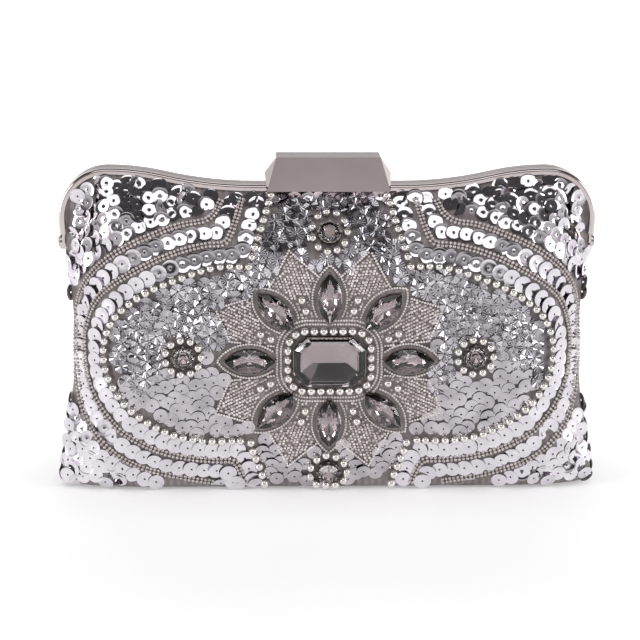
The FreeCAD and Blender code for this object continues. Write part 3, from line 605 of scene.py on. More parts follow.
class Cloth:
    """Answers where the cloth is: by ray from the front or back."""

    def __init__(self, obj, side):
        self.side = side
        verts = [v.co.copy() for v in obj.data.vertices]
        self.tree = BVHTree.FromPolygons(verts, [tuple(p.vertices) for p in obj.data.polygons])
        self.normals = np.array([v.normal for v in obj.data.vertices])
        self.verts = np.array([v.co for v in obj.data.vertices]) / MM
        self.polys = [tuple(p.vertices) for p in obj.data.polygons]

    def smooth_normal(self, index, at):
        ids = self.polys[index]
        d = np.array([1 / (0.05 + np.linalg.norm(self.verts[i] - at)) for i in ids])
        n = (self.normals[list(ids)] * d[:, None]).sum(0)
        n /= np.linalg.norm(n)
        return n if n[1] * self.side > -0.35 else -n

    def seat(self, x, z):
        start = Vector((x * MM, self.side * 0.09, z * MM))
        hit = self.tree.ray_cast(start, Vector((0, -self.side, 0)))
        if hit[0] is None:
            y = self.side * float(depth(np.array(x), np.array(z)))
            hit = self.tree.find_nearest(Vector((x * MM, y * MM, z * MM)))
        at = np.array(hit[0]) / MM
        return at, self.smooth_normal(hit[2], at)


FRONT, REAR = Cloth(front_skin, -1), Cloth(rear_skin, 1)


def lay_path(cloth, points, step, offset=0.0, mirror=False, start=0.0, stop=0.0):
    """Seats spaced step apart along a line drawn on the front: (position, normal, way on)."""
    line = spline(points, 0.5)
    if mirror:
        line = line * np.array((-1, 1))
    p, n = (np.array(part) for part in zip(*(cloth.seat(x, z) for x, z in line)))
    run = run_along(p)
    total = run[-1] - start - stop
    count = max(2, int(round(total / step)) + 1)
    out = []
    for d in start + np.arange(count) * total / (count - 1):
        at, nn = at_run(d, run, p), at_run(d, run, n)
        nn /= np.linalg.norm(nn)
        way = at_run(min(d + 1, run[-1]), run, p) - at_run(max(d - 1, 0), run, p)
        way -= nn * (way @ nn)
        way /= np.linalg.norm(way)
        out.append((at + np.cross(nn, way) * offset, nn, way))
    return out


# ---- the pattern on the front (right half, mm)
PEARL_TOP = [
    (23.2, 118.6), (25.0, 114.2), (26.8, 109), (28.8, 103.6), (30.6, 98), (32.0, 93.4),
]
PEARL_LOBE = [
    (36.0, 93.4), (42, 93.4), (48, 92.5), (56, 90.5), (64, 88), (72, 84.3), (79, 79.5), (84.5, 74), (88, 67),
    (89.5, 59), (88.8, 51), (86.3, 45), (82.3, 38.5), (76.5, 33), (70, 28.5), (62, 24.8), (53.5, 22.9),
    (45, 22.3), (35.5, 22.6),
]
PEARL_FOOT = [(31.4, 21.8), (30.0, 17), (28.4, 12), (26.8, 7), (25.8, 3.4)]
INNER_LINE = [
    (35.0, 118.0), (37.0, 112), (39.4, 106), (42.2, 102.4), (49, 101.8), (57, 100.3), (66, 97.6),
    (74, 94.2), (82, 89.6), (88, 85), (93, 79.5), (96.3, 72), (98.0, 64), (98.2, 56), (96.9, 46),
    (93.8, 38.6), (90, 32.4), (84, 26.4), (76, 21.4), (67, 17.4), (57, 14.9), (47, 13.8), (39.0, 13.2),
    (35.8, 8.6), (34, 3.4),
]
OUTER_LINE = [
    (43.5, 117.6), (46.0, 113.4), (50.4, 110.6), (60, 109.2), (70, 106.2), (78.5, 102.8), (86, 98.4),
    (92.4, 92.8), (97, 86.6), (100, 79.4), (101.5, 70), (102.0, 58), (101.5, 45), (99.3, 33.6),
    (95.4, 25.6), (89.5, 19), (82.5, 13.8), (75, 10), (65, 7.2), (55, 5.4), (47, 3.6),
]
ROW_ONE = [
    (28.9, 116.5), (31.0, 110.6), (33.2, 104.6), (35.2, 99.4), (40.0, 97.8), (46, 97.5), (55, 95.6),
    (64, 93), (72.5, 89.3), (80, 84.6), (86.4, 79), (91.0, 72.6), (93.7, 65.4), (94.2, 57),
    (93.2, 48.5), (90.2, 41.4), (85.8, 35), (79.8, 29), (72, 24.4), (63, 20.6), (54, 18.6), (45, 17.9),
    (36.4, 17.6), (33.0, 11.6), (30.8, 4.6),
]
ROW_TWO = [
    (39.0, 116.8), (41.4, 111.4), (45.0, 106.6), (52, 105.8), (60, 104.6), (69, 101.6), (77, 98),
    (84.4, 93.6), (90.4, 88.4), (95.2, 82), (98.2, 74.6), (99.8, 65), (100.0, 54), (99.0, 44),
    (96.5, 35.8), (92.5, 28.8), (86.6, 22.8), (79, 17.4), (70, 13), (60, 10.4), (50, 9.4), (41.5, 8.4),
    (38.6, 3.6),
]


def whole(line):
    """The closed region inside a pattern line and its mirror image."""
    right = spline(line, 1.0)
    return np.vstack([right, (right * (-1, 1))[::-1]])


PEARL_REGION = whole(PEARL_TOP + PEARL_LOBE + PEARL_FOOT)
OUTER_REGION = whole(OUTER_LINE)

# flower, measured from the middle stone: x, up
RING_STONE = (16.6, 12.2, 7.0)
NAVETTES = [(0, 25.6, 0), (0, -25.6, 0), (32.0, 0, 90), (-32.0, 0, 90)] + [
    (21.6 * r, 20.4 * u, -45 * r * u) for r in (-1, 1) for u in (-1, 1)
]
FOUR_WAYS = [(r, s) for r in (-1, 1) for s in (-1, 1)]
PETAL_PEARLS = [
    (x * r, u * s) for x, u in ((11.2, 25.0), (9.6, 20.6), (27.6, 11.2), (23.6, 9.2)) for r, s in FOUR_WAYS
]
MEDALLIONS = [(-58.7, 1.8), (58.7, 1.8), (0.0, 50.4), (0.0, -46.6)]
LEAF_TOP = [(16.3, 44.0), (4.0, 34.0), (2.6, 17.0), (14.0, 15.0), (25.4, 28.0)]
LEAF_SIDE = [(45.6, 21.6), (31.0, 26.0), (17.5, 15.0), (21.0, 6.0), (40.0, 8.0)]
LEAVES = [np.array(leaf) * way for leaf in (LEAF_TOP, LEAF_SIDE) for way in FOUR_WAYS]


def navette_outline(half_long, half_wide, count=40):
    radius = (half_long**2 + half_wide**2) / (2 * half_wide)
    reach = math.asin(half_long / radius)
    a = np.linspace(-reach, reach, count)
    right = np.stack([radius * np.cos(a) - (radius - half_wide), radius * np.sin(a)], 1)
    return np.vstack([right[:-1], (right * -1)[:-1]])


def placed_outline(outline, x, up, turn):
    t = math.radians(turn)
    rot = np.array(((math.cos(t), math.sin(t)), (-math.sin(t), math.cos(t))))
    return outline @ rot + (x, up)


def ring_outline(half, rise, radius, count=240):
    """A closed rectangle with round corners, as half width, half height and corner radius."""
    a = np.linspace(0, 2 * math.pi, count, endpoint=False)
    cx, cy = half - radius, rise - radius
    pts = []
    for quad, (sx, sy) in enumerate(((1, 1), (-1, 1), (-1, -1), (1, -1))):
        arc = a[(a >= quad * math.pi / 2) & (a < (quad + 1) * math.pi / 2 + 0.02)]
        pts += [(sx * cx + radius * math.cos(t), sy * cy + radius * math.sin(t)) for t in arc]
    return np.array(pts)


PETALS = [placed_outline(navette_outline(13.2, 7.0), *n) for n in NAVETTES]
STONE_RING = ring_outline(22.4, 16.8, 9.5)


def in_flower(points, grow=0.0):
    """Whether x, up points lie on the flower's patch."""
    pts = np.asarray(points, float)
    hit = inside(pts, STONE_RING)
    for shape in PETALS + list(LEAVES):
        hit |= inside(pts, shape)
        if grow:
            closed = np.vstack([shape, shape[:1]])
            edge = np.diff(closed, axis=0)
            dense = np.vstack([closed[:-1] + edge * t for t in (0, 0.25, 0.5, 0.75)])
            hit |= line_distance(pts, dense) < grow
    return hit


# ---- stamps
CUP = disc_template([(0.13, 0.015), (0.2, 0.0), (0.6, 0.006), (0.88, 0.022), (1.0, 0.055)], 22)
STAR_CUTS = [
    disc_template([(0.12, 0.0), (0.3, 0.03), (0.98, 0.08)], spokes, zigzag=lift, shaded=False)
    for spokes, lift in ((30, 0.05), (28, 0.032), (32, 0.06))
]
SCALE = disc_template([(0.13, 0.02), (0.22, 0.0), (0.9, 0.02), (1.0, 0.0)], 20)
PEARL_BALL = ball_template(18, 12)
SEED_BALL = ball_template(10, 6, 0.86)

cups, stars, scales = Batch("front_cup_sequins"), Batch("front_cut_sequins"), Batch("front_flat_sequins")
line_seeds, flower_seeds = Batch("front_bead_lines"), Batch("flower_beads")
rim_seeds = Batch("flower_rim_beads")
outline_pearls, jewel_pearls = Batch("front_pearl_outline"), Batch("jewel_pearls")
# radii of the sewn pieces, and the spaces between them along their lines
PEARL_R, RING_R, SEED_R, RIM_R = 1.68, 1.8, 0.7, 0.54
CUP_R, FILL_R, STAR_R, SCALE_R = 3.45, 3.25, 2.95, 3.0
ROW_PITCH, LINE_PITCH, LINE_HALF_GAP, PEARL_PITCH, RIM_PITCH = 5.1, 1.62, 0.72, 3.95, 1.12


def stamp_row(batch, tmpl, seats, size, lean, wobble, lift=0.35):
    """Sequins that overlap along a row, each leaning on the one before."""
    for at, n, way in seats:
        axes = seat_axes(n, toward=way, tilt=math.radians(lean + rng.gauss(0, wobble)))
        axes = jitter_axes(axes, wobble * 0.6)
        batch.add(tmpl, at + n * (lift + rng.uniform(0, 0.12)), axes, size * rng.uniform(0.97, 1.03))


for mirror in (False, True):
    for line in (ROW_ONE, ROW_TWO):
        stamp_row(cups, CUP, lay_path(FRONT, line, ROW_PITCH, mirror=mirror), CUP_R, -7, 3.0)
    for line in (INNER_LINE, OUTER_LINE):
        for off in (-LINE_HALF_GAP, LINE_HALF_GAP):
            for at, n, way in lay_path(FRONT, line, LINE_PITCH, offset=off, mirror=mirror):
                size = SEED_R * rng.uniform(0.92, 1.06)
                line_seeds.add(SEED_BALL, at + n * 0.6, seat_axes(n, toward=way), size)
    for line in (PEARL_TOP, PEARL_LOBE, PEARL_FOOT):
        for at, n, way in lay_path(FRONT, line, PEARL_PITCH, mirror=mirror):
            outline_pearls.add(PEARL_BALL, at + n * PEARL_R, seat_axes(n, turn=rng.uniform(0, 6)), PEARL_R)


# pearls round the jewels
def along(outline, step=None, count=None):
    """Points spaced evenly round a closed outline: count of them, or about step apart."""
    line = np.vstack([outline, outline[:1]])
    run = run_along(line)
    count = count or int(round(run[-1] / step))
    return at_run(np.arange(count) * run[-1] / count, run, line)


def put_pearl(x, z, size=PEARL_R):
    at, n = FRONT.seat(x, max(z, 3.2))
    jewel_pearls.add(PEARL_BALL, at + n * size, seat_axes(n, turn=rng.uniform(0, 6)), size)


STONE_PEARLS = along(ring_outline(*RING_STONE, 720), count=27)
for x, up in STONE_PEARLS:
    put_pearl(x, FLOWER + up, RING_R)
for x, up in PETAL_PEARLS:
    put_pearl(x, FLOWER + up)
for mx, mup in MEDALLIONS:
    for k in range(11):
        a = 2 * math.pi * k / 11
        put_pearl(mx + 7.1 * math.cos(a), FLOWER + mup + 7.1 * math.sin(a))


def put_seed(batch, x, up, lift=0.95, size=SEED_R):
    at, n = FRONT.seat(x, FLOWER + up)
    batch.add(SEED_BALL, at + n * lift, seat_axes(n, turn=rng.uniform(0, 6)), size * rng.uniform(0.92, 1.05))


taken = []


def free(x, up, gap=1.45):
    return all((x - a) ** 2 + (up - b) ** 2 > gap * gap for a, b in taken)


def seed_line(outline, keep=None):
    for x, up in along(outline, RIM_PITCH):
        if (keep is None or keep(x, up)) and free(x, up, 0.9):
            put_seed(rim_seeds, x, up, lift=0.78, size=RIM_R)
            taken.append((x, up))


RING_EDGE = ring_outline(22.0, 17.6, 13.0)
PETAL_ZONES = [placed_outline(navette_outline(13.4, 7.3), *spot) for spot in NAVETTES]


def outside_ring(x, up):
    return not inside(np.array([[x, up]]), RING_EDGE)[0]


def outside_petals(x, up):
    return outside_ring(x, up) and not any(inside(np.array([[x, up]]), zone)[0] for zone in PETAL_ZONES)


LEAF_STEP, LEAF_ROW, LEAF_SLANT, LEAF_WANDER, LEAF_GAP = 1.18, 1.32, 0.55, 0.12, 1.05


def fill_leaf(leaf):
    """Rows of small beads that slant back from the leaf's middle line."""
    way = leaf[0] / np.linalg.norm(leaf[0])
    across = np.array((-way[1], way[0]))
    for i, j in itertools.product(range(-14, 15), range(28)):
        spot = leaf[0] - way * (j * LEAF_STEP + abs(i) * LEAF_SLANT) + across * (i * LEAF_ROW)
        spot = spot + (rng.uniform(-LEAF_WANDER, LEAF_WANDER), rng.uniform(-LEAF_WANDER, LEAF_WANDER))
        if inside(np.array([spot]), leaf)[0] and outside_petals(*spot) and free(*spot, LEAF_GAP):
            put_seed(rng.choice((rim_seeds, flower_seeds)), *spot, lift=0.74, size=SEED_R * 0.88)
            taken.append(tuple(spot))


for px, pup in list(STONE_PEARLS) + PETAL_PEARLS:
    taken.extend((px + 1.35 * math.cos(a), pup + 1.35 * math.sin(a)) for a in np.arange(0, 6.28, 1.05))
seed_line(ring_outline(19.4, 15.0, 11.0))
seed_line(ring_outline(21.0, 16.6, 12.2))
for spot in NAVETTES:
    seed_line(placed_outline(navette_outline(13.0, 6.9), *spot), keep=outside_ring)
for leaf in LEAVES:
    seed_line(leaf, keep=outside_petals)
for leaf in LEAVES:
    fill_leaf(leaf)

# sequins inside the pearl outline: cut ones above, flat ones below
def both_sides(points):
    line = spline(points, 0.6)
    return np.vstack([line, line * (-1, 1)])


pearl_lines, outer_lines = both_sides(PEARL_TOP + PEARL_LOBE + PEARL_FOOT), both_sides(OUTER_LINE)
NEIGHBOURS = list(itertools.product((-1, 0, 1), repeat=3))


def clear_of_medallions(points, gap):
    ok = np.ones(len(points), bool)
    for mx, mup in MEDALLIONS:
        ok &= np.hypot(points[:, 0] - mx, points[:, 1] - (FLOWER + mup)) > gap
    return ok


def thin_out(points, normals, gap, taken_points=()):
    """Keeps points at least gap apart, the first come first."""
    cell, out = {}, []

    def key(p):
        return tuple((p // gap).astype(int))

    for p in taken_points:
        cell.setdefault(key(p), []).append(p)
    for p, n in zip(points, normals):
        i, j, k = key(p)
        near = (cell.get((i + a, j + b, k + c), ()) for a, b, c in NEIGHBOURS)
        if all(((p - q) ** 2).sum() >= gap * gap for held in near for q in held):
            cell.setdefault((i, j, k), []).append(p)
            out.append((p, n))
    return out


INNER_LOW, INNER_SPAN, INNER_TRIES = (-92, 2.6), (184, 118.5 - 2.6), 90000
STAR_GAP, SCALE_GAP, MEDALLION_GAP = 3.25, 3.5, 8.9


def scattered(gap):
    """Seeded random points inside the pearl outline's box, as x and z, at least gap apart."""
    tries = nrng.random((INNER_TRIES, 2)) * INNER_SPAN + INNER_LOW
    flat = np.stack([tries[:, 0], np.zeros(INNER_TRIES), tries[:, 1]], 1)
    return np.array([p for p, _ in thin_out(flat, flat, gap)])[:, [0, 2]]


def inner_spots(points, pearl_gap, flower_gap):
    good = inside(points, PEARL_REGION) & (line_distance(points, pearl_lines) > pearl_gap)
    good &= clear_of_medallions(points, MEDALLION_GAP) & ~in_flower(points - (0, FLOWER), flower_gap)
    return points[good]


def star_border(x):
    """The wavy height where the cut sequins end and the flat ones begin."""
    return 50.0 + 5.0 * math.sin(x * 0.11 + 0.6) + 2.0 * math.sin(x * 0.37)


for x, z in inner_spots(scattered(STAR_GAP), 2.3, 1.2):
    if z > star_border(x) + rng.gauss(0, 2.0):
        at, n = FRONT.seat(x, z)
        axes = jitter_axes(seat_axes(n, turn=rng.uniform(0, 6.28)), 6.0)
        cut, lift = rng.choice(STAR_CUTS), 0.45 + rng.uniform(0, 0.4)
        stars.add(cut, at + n * lift, axes, STAR_R * rng.uniform(0.95, 1.06))
for x, z in inner_spots(scattered(SCALE_GAP), 2.2, 1.2):
    if z < star_border(x) + 1.5:
        at, n = FRONT.seat(x, z)
        axes = jitter_axes(seat_axes(n, tilt=math.radians(6)), 2.5)
        scales.add(SCALE, at + n * (0.5 + rng.uniform(0, 0.25)), axes, SCALE_R * rng.uniform(0.97, 1.04))


# sequins outside the outer line, over the corners, sides and edges
EDGE_COLS, EDGE_ROWS = 5, 4


def surface_samples(grid, count):
    """Random points spread evenly over a cloth's grid, and the normals there, clear of its edges."""
    r, c = grid.shape[:2]
    a = grid[:-1, :-1]
    e1, e2 = grid[1:, :-1] - a, grid[:-1, 1:] - a
    area = np.linalg.norm(np.cross(e1, e2), axis=-1)
    area[:, :EDGE_COLS] = 0
    area[:, c - 1 - EDGE_COLS :] = 0
    area[:EDGE_ROWS] = 0
    flat = area.ravel() / area.sum()
    pick = nrng.choice(len(flat), count, p=flat)
    ri, ci = pick // (c - 1), pick % (c - 1)
    s, t = nrng.random((2, count))
    n = np.cross(e2, e1)[ri, ci] * (-1 if grid[r // 2, c // 2, 1] < 0 else 1)
    n /= np.maximum(np.linalg.norm(n, axis=1, keepdims=True), 1e-9)
    return a[ri, ci] + e1[ri, ci] * s[:, None] + e2[ri, ci] * t[:, None], n


GROUND_GAP = 0.15


def stamp_clear(batch, tmpl, at, axes, size):
    """Stamps a sequin unless it would dip into the ground."""
    if ((tmpl.v * size) @ axes + at)[:, 2].min() > GROUND_GAP:
        batch.add(tmpl, at, axes, size)


def offset_line(line, gap):
    """The part of a line gap further out from the pattern's middle that stays gap away from it."""
    base = spline(line, 0.5)
    way = np.gradient(base, axis=0)
    way /= np.linalg.norm(way, axis=1, keepdims=True)
    out = base + np.stack([way[:, 1], -way[:, 0]], 1) * -gap
    if ((out - (30, 55)) ** 2).sum() < ((base - (30, 55)) ** 2).sum():
        out = base * 2 - out
    return out[line_distance(out, base) > gap - 0.25]


def on_cloth(points):
    x, z = points[:, 0], points[:, 2]
    return (rail_distance(x, z) > 4.6) & ((z < 96.0) | (np.abs(x) < 102.5))


def outward(p, n, side):
    """n turned to point out of the pouch: side is -1 on the front and 1 on the back."""
    return -n if n[1] * side < -0.5 or n[0] * p[0] < -0.2 * abs(p[0]) else n


def put_outer(p, n, way, lean, wobble):
    axes = jitter_axes(seat_axes(n, toward=way, tilt=math.radians(lean)), wobble)
    stamp_clear(cups, CUP, p + n * (0.4 + rng.uniform(0, 0.2)), axes, FILL_R * rng.uniform(0.96, 1.05))


OUTER_ROWS, OUTER_FIRST, OUTER_PITCH, OUTER_STEP = 9, 4.4, 4.2, 4.9
OUTER_GAP, OUTER_FILL_GAP, OUTER_CLEAR, OUTER_TRIES = 3.6, 3.5, 3.2, 30000
placed = []


def clear_of_pattern(at):
    """Whether a row's sequin is on the front's cloth and outside the pattern."""
    spot = np.array([[at[0], at[2]]])
    if not on_cloth(at[None])[0] or abs(at[0]) > float(half_width(at[2])) - 1.5 or at[2] < 2.4:
        return False
    return not inside(spot, OUTER_REGION)[0] and line_distance(spot, outer_lines)[0] >= OUTER_CLEAR


def outer_row(line, mirror):
    """Sequins along each unbroken run of a line."""
    for run in np.split(line, np.where(np.linalg.norm(np.diff(line, axis=0), axis=1) > 3.0)[0] + 1):
        if len(run) < 12:
            continue
        for at, n, way in lay_path(FRONT, run[::6], OUTER_STEP, mirror=mirror, start=rng.uniform(0, 2)):
            if clear_of_pattern(at) and all(((at - q) ** 2).sum() > OUTER_GAP**2 for q in placed):
                placed.append(at)
                puckered = float(rail_distance(at[0], at[2])) < 13 and abs(at[0]) < 80
                put_outer(at, n, way, -5, 16 if puckered else 5.5)


for mirror in (False, True):
    for k in range(OUTER_ROWS):
        outer_row(offset_line(OUTER_LINE, OUTER_FIRST + OUTER_PITCH * k), mirror)
pts, nrm = surface_samples(front_grid, OUTER_TRIES)
flat = pts[:, [0, 2]]
good = ~inside(flat, OUTER_REGION) & (line_distance(flat, outer_lines) > OUTER_CLEAR) & on_cloth(pts)
for p, n in thin_out(pts[good], nrm[good], OUTER_FILL_GAP, placed):
    put_outer(p, outward(p, n, -1), (0, 0, 1), rng.gauss(7, 5), 7)

# the back: sequins sewn in rows, each row over the one below it
REAR_PITCH, REAR_STEP, REAR_FILL_GAP, REAR_TRIES = 4.0, 5.0, 4.3, 60000
back_cups = Batch("rear_sequins")


def put_rear(p, n, lean=7.0, wobble=3.0):
    axes = jitter_axes(seat_axes(n, tilt=math.radians(-lean)), wobble)
    stamp_clear(back_cups, CUP, p + n * (0.45 + rng.uniform(0, 0.1)), axes, FILL_R * rng.uniform(0.97, 1.03))


def rear_rows():
    """Heights of the rows, evenly spaced along the cloth over the middle."""
    z = np.linspace(2.6, CROWN - 5.2, 600)
    y = depth(np.zeros_like(z), z)
    run = np.concatenate([[0], np.cumsum(np.hypot(np.diff(z), np.diff(y)))])
    count = int(run[-1] / REAR_PITCH)
    return np.interp(np.arange(count + 1) * run[-1] / count, run, z)


rear_spots = []
for k, z in enumerate(rear_rows()):
    half = float(half_width(np.array(z))) - 0.8
    xs = np.linspace(-half, half, 90)
    line = [(x, min(z, float(frame_height(np.array(x), 4.8)))) for x in xs]
    shift = REAR_STEP / 2
    ends = 1.2 + shift * (k % 2), 1.2 + shift * ((k + 1) % 2)
    for at, n, way in lay_path(REAR, line, REAR_STEP, start=ends[0], stop=ends[1]):
        if on_cloth(at[None])[0]:
            rear_spots.append(at)
            put_rear(at, n)
pts, nrm = surface_samples(rear_grid, REAR_TRIES)
good = on_cloth(pts)
for p, n in thin_out(pts[good], nrm[good], REAR_FILL_GAP, rear_spots):
    put_rear(p, outward(p, n, 1), 6.0, 6.0)

front_cups = cups.build(SEQUIN)
front_stars = stars.build(STAR)
front_scales = scales.build(PLAIN)
rear_cups = back_cups.build(SEQUIN)
bead_lines = line_seeds.build(SEED)
flower_beads = flower_seeds.build(SEED)
rim_beads = rim_seeds.build(RIM_BEAD)
pearls_out = outline_pearls.build(PEARL)
pearls_in = jewel_pearls.build(PEARL)


# ---- flower patch under the beads
def flower_patch():
    """The felt that the beads sit on, cut to the flower's outline, and the area of its pattern in m2."""
    step = 0.8
    xs = np.arange(-48, 48 + step, step)
    ups = np.arange(-47, 49 + step, step)
    gx, gz = np.meshgrid(xs, ups)
    pts = np.stack([gx.ravel(), gz.ravel()], 1)
    mask = in_flower(pts).reshape(gx.shape)
    ids, verts, faces = {}, [], []

    def vid(r, c):
        if (r, c) not in ids:
            at, n = FRONT.seat(gx[r, c], FLOWER + gz[r, c])
            ids[(r, c)] = len(verts)
            verts.append(at + n * 0.32)
        return ids[(r, c)]

    for r in range(gx.shape[0] - 1):
        for c in range(gx.shape[1] - 1):
            if mask[r : r + 2, c : c + 2].all():
                faces.append((vid(r, c), vid(r, c + 1), vid(r + 1, c + 1), vid(r + 1, c)))
    obj = new_mesh("flower_patch", verts, faces)
    thicken(obj, 0.3, -1)
    return wear(obj, BACKING), mask.sum() * step * step * MM * MM


patch, patch_area = flower_patch()


# ---- stones
def gem(outline, levels, culet, table=True):
    """Closed cut stone. levels: (scale x, scale y, height, half-step turn) from the table down."""
    count = len(outline)
    verts, faces = [], []
    for sx, sy, h, half in levels:
        shape = (outline + np.roll(outline, -1, axis=0)) / 2 if half else outline
        verts += [(x * sx, y * sy, h) for x, y in shape]
    if table:
        faces.append(tuple(range(count)))
    for k in range(len(levels) - 1):
        a, b = k * count, (k + 1) * count
        turned = levels[k + 1][3] - levels[k][3]
        for j in range(count):
            n = (j + 1) % count
            if turned == 1:
                faces += [(a + j, b + j, a + n), (a + n, b + j, b + n)]
            elif turned == -1:
                faces += [(a + j, b + j, b + n), (a + j, b + n, a + n)]
            else:
                faces.append((a + j, b + j, b + n, a + n))
    last = (len(levels) - 1) * count
    verts.append((0, 0, culet))
    tip = len(verts) - 1
    for j in range(count):
        faces.append((last + j, tip, last + (j + 1) % count))
    return Template(verts, faces, False)


def octagon(half, rise, cut):
    return np.array([
        (half, -rise + cut), (half, rise - cut), (half - cut, rise), (-half + cut, rise),
        (-half, rise - cut), (-half, -rise + cut), (-half + cut, -rise), (half - cut, -rise),
    ])


def foil_of(outline, levels, culet):
    """The foiled back: the stone's lower facets a hair further out, as an open bowl."""
    bowl = gem(outline, levels, culet, table=False)
    bowl.v = bowl.v * (1.012, 1.012, 1.0) - (0, 0, 0.03)
    return bowl


big_outline = octagon(14.1, 9.9, 4.9)
BIG = [(0.80, 0.73, 5.3, 0), (0.91, 0.88, 4.6, 0), (1.0, 1.0, 3.5, 0), (1.0, 1.0, 3.25, 0)]
BIG_BACK = [(1.0, 1.0, 3.25, 0), (0.78, 0.72, 1.85, 0), (0.46, 0.03, 1.1, 0)]
nav_outline = navette_outline(10.1, 5.0, 6)
NAV = [(0.34, 0.36, 4.5, 0), (0.72, 0.76, 3.7, 1), (1.0, 1.0, 2.8, 0), (1.0, 1.0, 2.6, 0)]
NAV_BACK = [(1.0, 1.0, 2.6, 0), (0.55, 0.6, 1.5, 1)]
round_outline = np.array([(math.cos(a), math.sin(a)) for a in np.arange(16) * math.pi / 8]) * 4.25
ROUND = [(0.5, 0.5, 3.9, 0), (0.8, 0.8, 3.3, 1), (1.0, 1.0, 2.5, 0), (1.0, 1.0, 2.3, 0)]
ROUND_BACK = [(1.0, 1.0, 2.3, 0), (0.55, 0.55, 1.2, 1)]


def set_stones(name, outline, top, back, culet, spots, node_name):
    stones, foils = Batch(name), Batch(name + "_foil")
    body, bowl = gem(outline, top + back[1:], culet), foil_of(outline, back, culet)
    for x, up, turn in spots:
        at, n = FRONT.seat(x, FLOWER + up)
        axes = seat_axes(n, turn=math.radians(turn))
        stones.add(body, at + n * 0.15, axes)
        foils.add(bowl, at + n * 0.15, axes)
    shown = stones.build(CRYSTAL)
    foil = foils.build(FOIL)
    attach(shown, "bag_body")
    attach(foil, "bag_body")
    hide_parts(node_name)


round_spots = [(x, up, 0) for x, up in MEDALLIONS]
set_stones("big_stone", big_outline, BIG, BIG_BACK, 1.09, [(0, 0, 0)], "center_crystal")
set_stones("petal_stones", nav_outline, NAV, NAV_BACK, 0.45, NAVETTES, "marquise_crystals")
set_stones("medallion_stones", round_outline, ROUND, ROUND_BACK, 0.5, round_spots, "medallion_crystals")


# ---- lining and base
def sewn_sheet(name, grid, mat, thick=0.35, offset=0):
    """A sheet of cloth from a grid of points in mm, rows up and columns across."""
    obj = new_mesh(name, grid.reshape(-1, 3), grid_faces(*grid.shape[:2]))
    thicken(obj, thick, offset)
    return wear(obj, mat)


def lining_piece(name, side, rows=61, cols=101):
    """The lining hangs from the frame just inside the panel's board."""
    sheet = panel_sheet(side, rows, cols, back=3.9, shrink=0.985)
    x, z = sheet[..., 0], sheet[..., 2]
    ripple = 0.3 * np.sin(x * 0.21 + 0.8 * np.sin(z * 0.09)) * smooth((z - 20) / 50.0)
    ripple += 0.15 * np.sin(x * 0.47 + z * 0.11)
    ease = smooth((rail_distance(x, z) - 5.0) / 9.0) * smooth((half_width(z) - np.abs(x) - 4.0) / 8.0)
    sheet[..., 1] -= side * (2.6 * fullness(x, z) + ripple * ease)
    return sewn_sheet(name, sheet, LINING)


def side_lining(name, hand):
    """The lining of a side wall, folded inwards with it."""
    z, w = np.meshgrid(np.linspace(3.0, 91.5, 41), np.linspace(-1, 1, 13), indexing="ij")
    reach = edge_half_depth(z) - 3.9
    x = half_width(z) - 3.0 - 0.35 * reach * (1 - w * w)
    return sewn_sheet(name, np.stack([hand * x, w * reach, z], -1), LINING)


def pocket_piece():
    """The slip pocket: sewn at its sides and foot, slack at its mouth, with a turned hem."""
    low, high = mm_box("slip_pocket")
    z, x = np.meshgrid(np.linspace(low[2], high[2], 36), np.linspace(low[0], high[0], 61), indexing="ij")
    up = (z - low[2]) / (high[2] - low[2])
    loose = (1 - np.abs(x / high[0]) ** 5) * smooth(up * 1.3)
    slack = loose * (0.8 + 0.35 * np.sin(x * 0.14 + 0.6) + 0.12 * np.sin(x * 0.37))
    y = depth(x, z) - 7.3 - slack
    pocket = sewn_sheet("pocket_cloth", np.stack([x, y, z], -1), LINING)
    hem_rows = z[:, 0] > high[2] - 6.0
    strip = np.stack([x, y - 0.35, z + 0.2], -1)[hem_rows]
    hem = sewn_sheet("pocket_hem", strip, LINING, 0.3)
    return pocket, hem


def floor_lining():
    """Cloth laid over the board in the base, with its edges turned up."""
    low, high = mm_box("bottom_lining")
    rows, cols = np.linspace(low[1] + 1, high[1] - 1, 25), np.linspace(low[0], high[0], 81)
    y, x = np.meshgrid(rows, cols, indexing="ij")
    edge = np.maximum(np.abs(x) / high[0], np.abs(y) / (high[1] - 1)) ** 18
    z = high[2] + 0.1 + 1.2 * edge + 0.08 * np.sin(x * 0.23 + y * 0.5)
    return sewn_sheet("floor_lining_cloth", np.stack([x, y, z], -1), LINING)


def base_cloth():
    """The cloth under the base, eased up towards its rim."""
    foot = np.array(0.3)
    s, t = np.meshgrid(np.sin(np.linspace(-1, 1, 61) * math.pi / 2), np.linspace(-1, 1, 25), indexing="ij")
    x = s * (float(half_width(foot)) - 1.0)
    y = t * (depth(x, foot) - 0.6)
    lift = 0.05 + 0.4 * np.abs(t) ** 8 + 0.4 * np.abs(s) ** 14
    return sewn_sheet("base_cloth", np.stack([x, y, lift], -1), SATIN_WITH_PAINTED_SHADE, 0.4, -1)


bpy.context.view_layer.update()
front_lining, rear_lining = lining_piece("front_lining_cloth", -1), lining_piece("rear_lining_cloth", 1)
left_lining, right_lining = side_lining("left_lining_cloth", -1), side_lining("right_lining_cloth", 1)
pocket, pocket_hem = pocket_piece()
inner_floor = floor_lining()
base = base_cloth()


# ---- ride, bake in place, replace
def rear_blend(obj):
    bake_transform(obj)


for obj in (
    front_skin, front_cups, front_stars, front_scales, bead_lines, flower_beads, rim_beads, pearls_out,
    pearls_in, patch, front_lining, base, left_lining, right_lining, pocket, pocket_hem, inner_floor,
):
    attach(obj, "bag_body")
for obj in (rear_skin, rear_cups, rear_lining):
    rear_blend(obj)

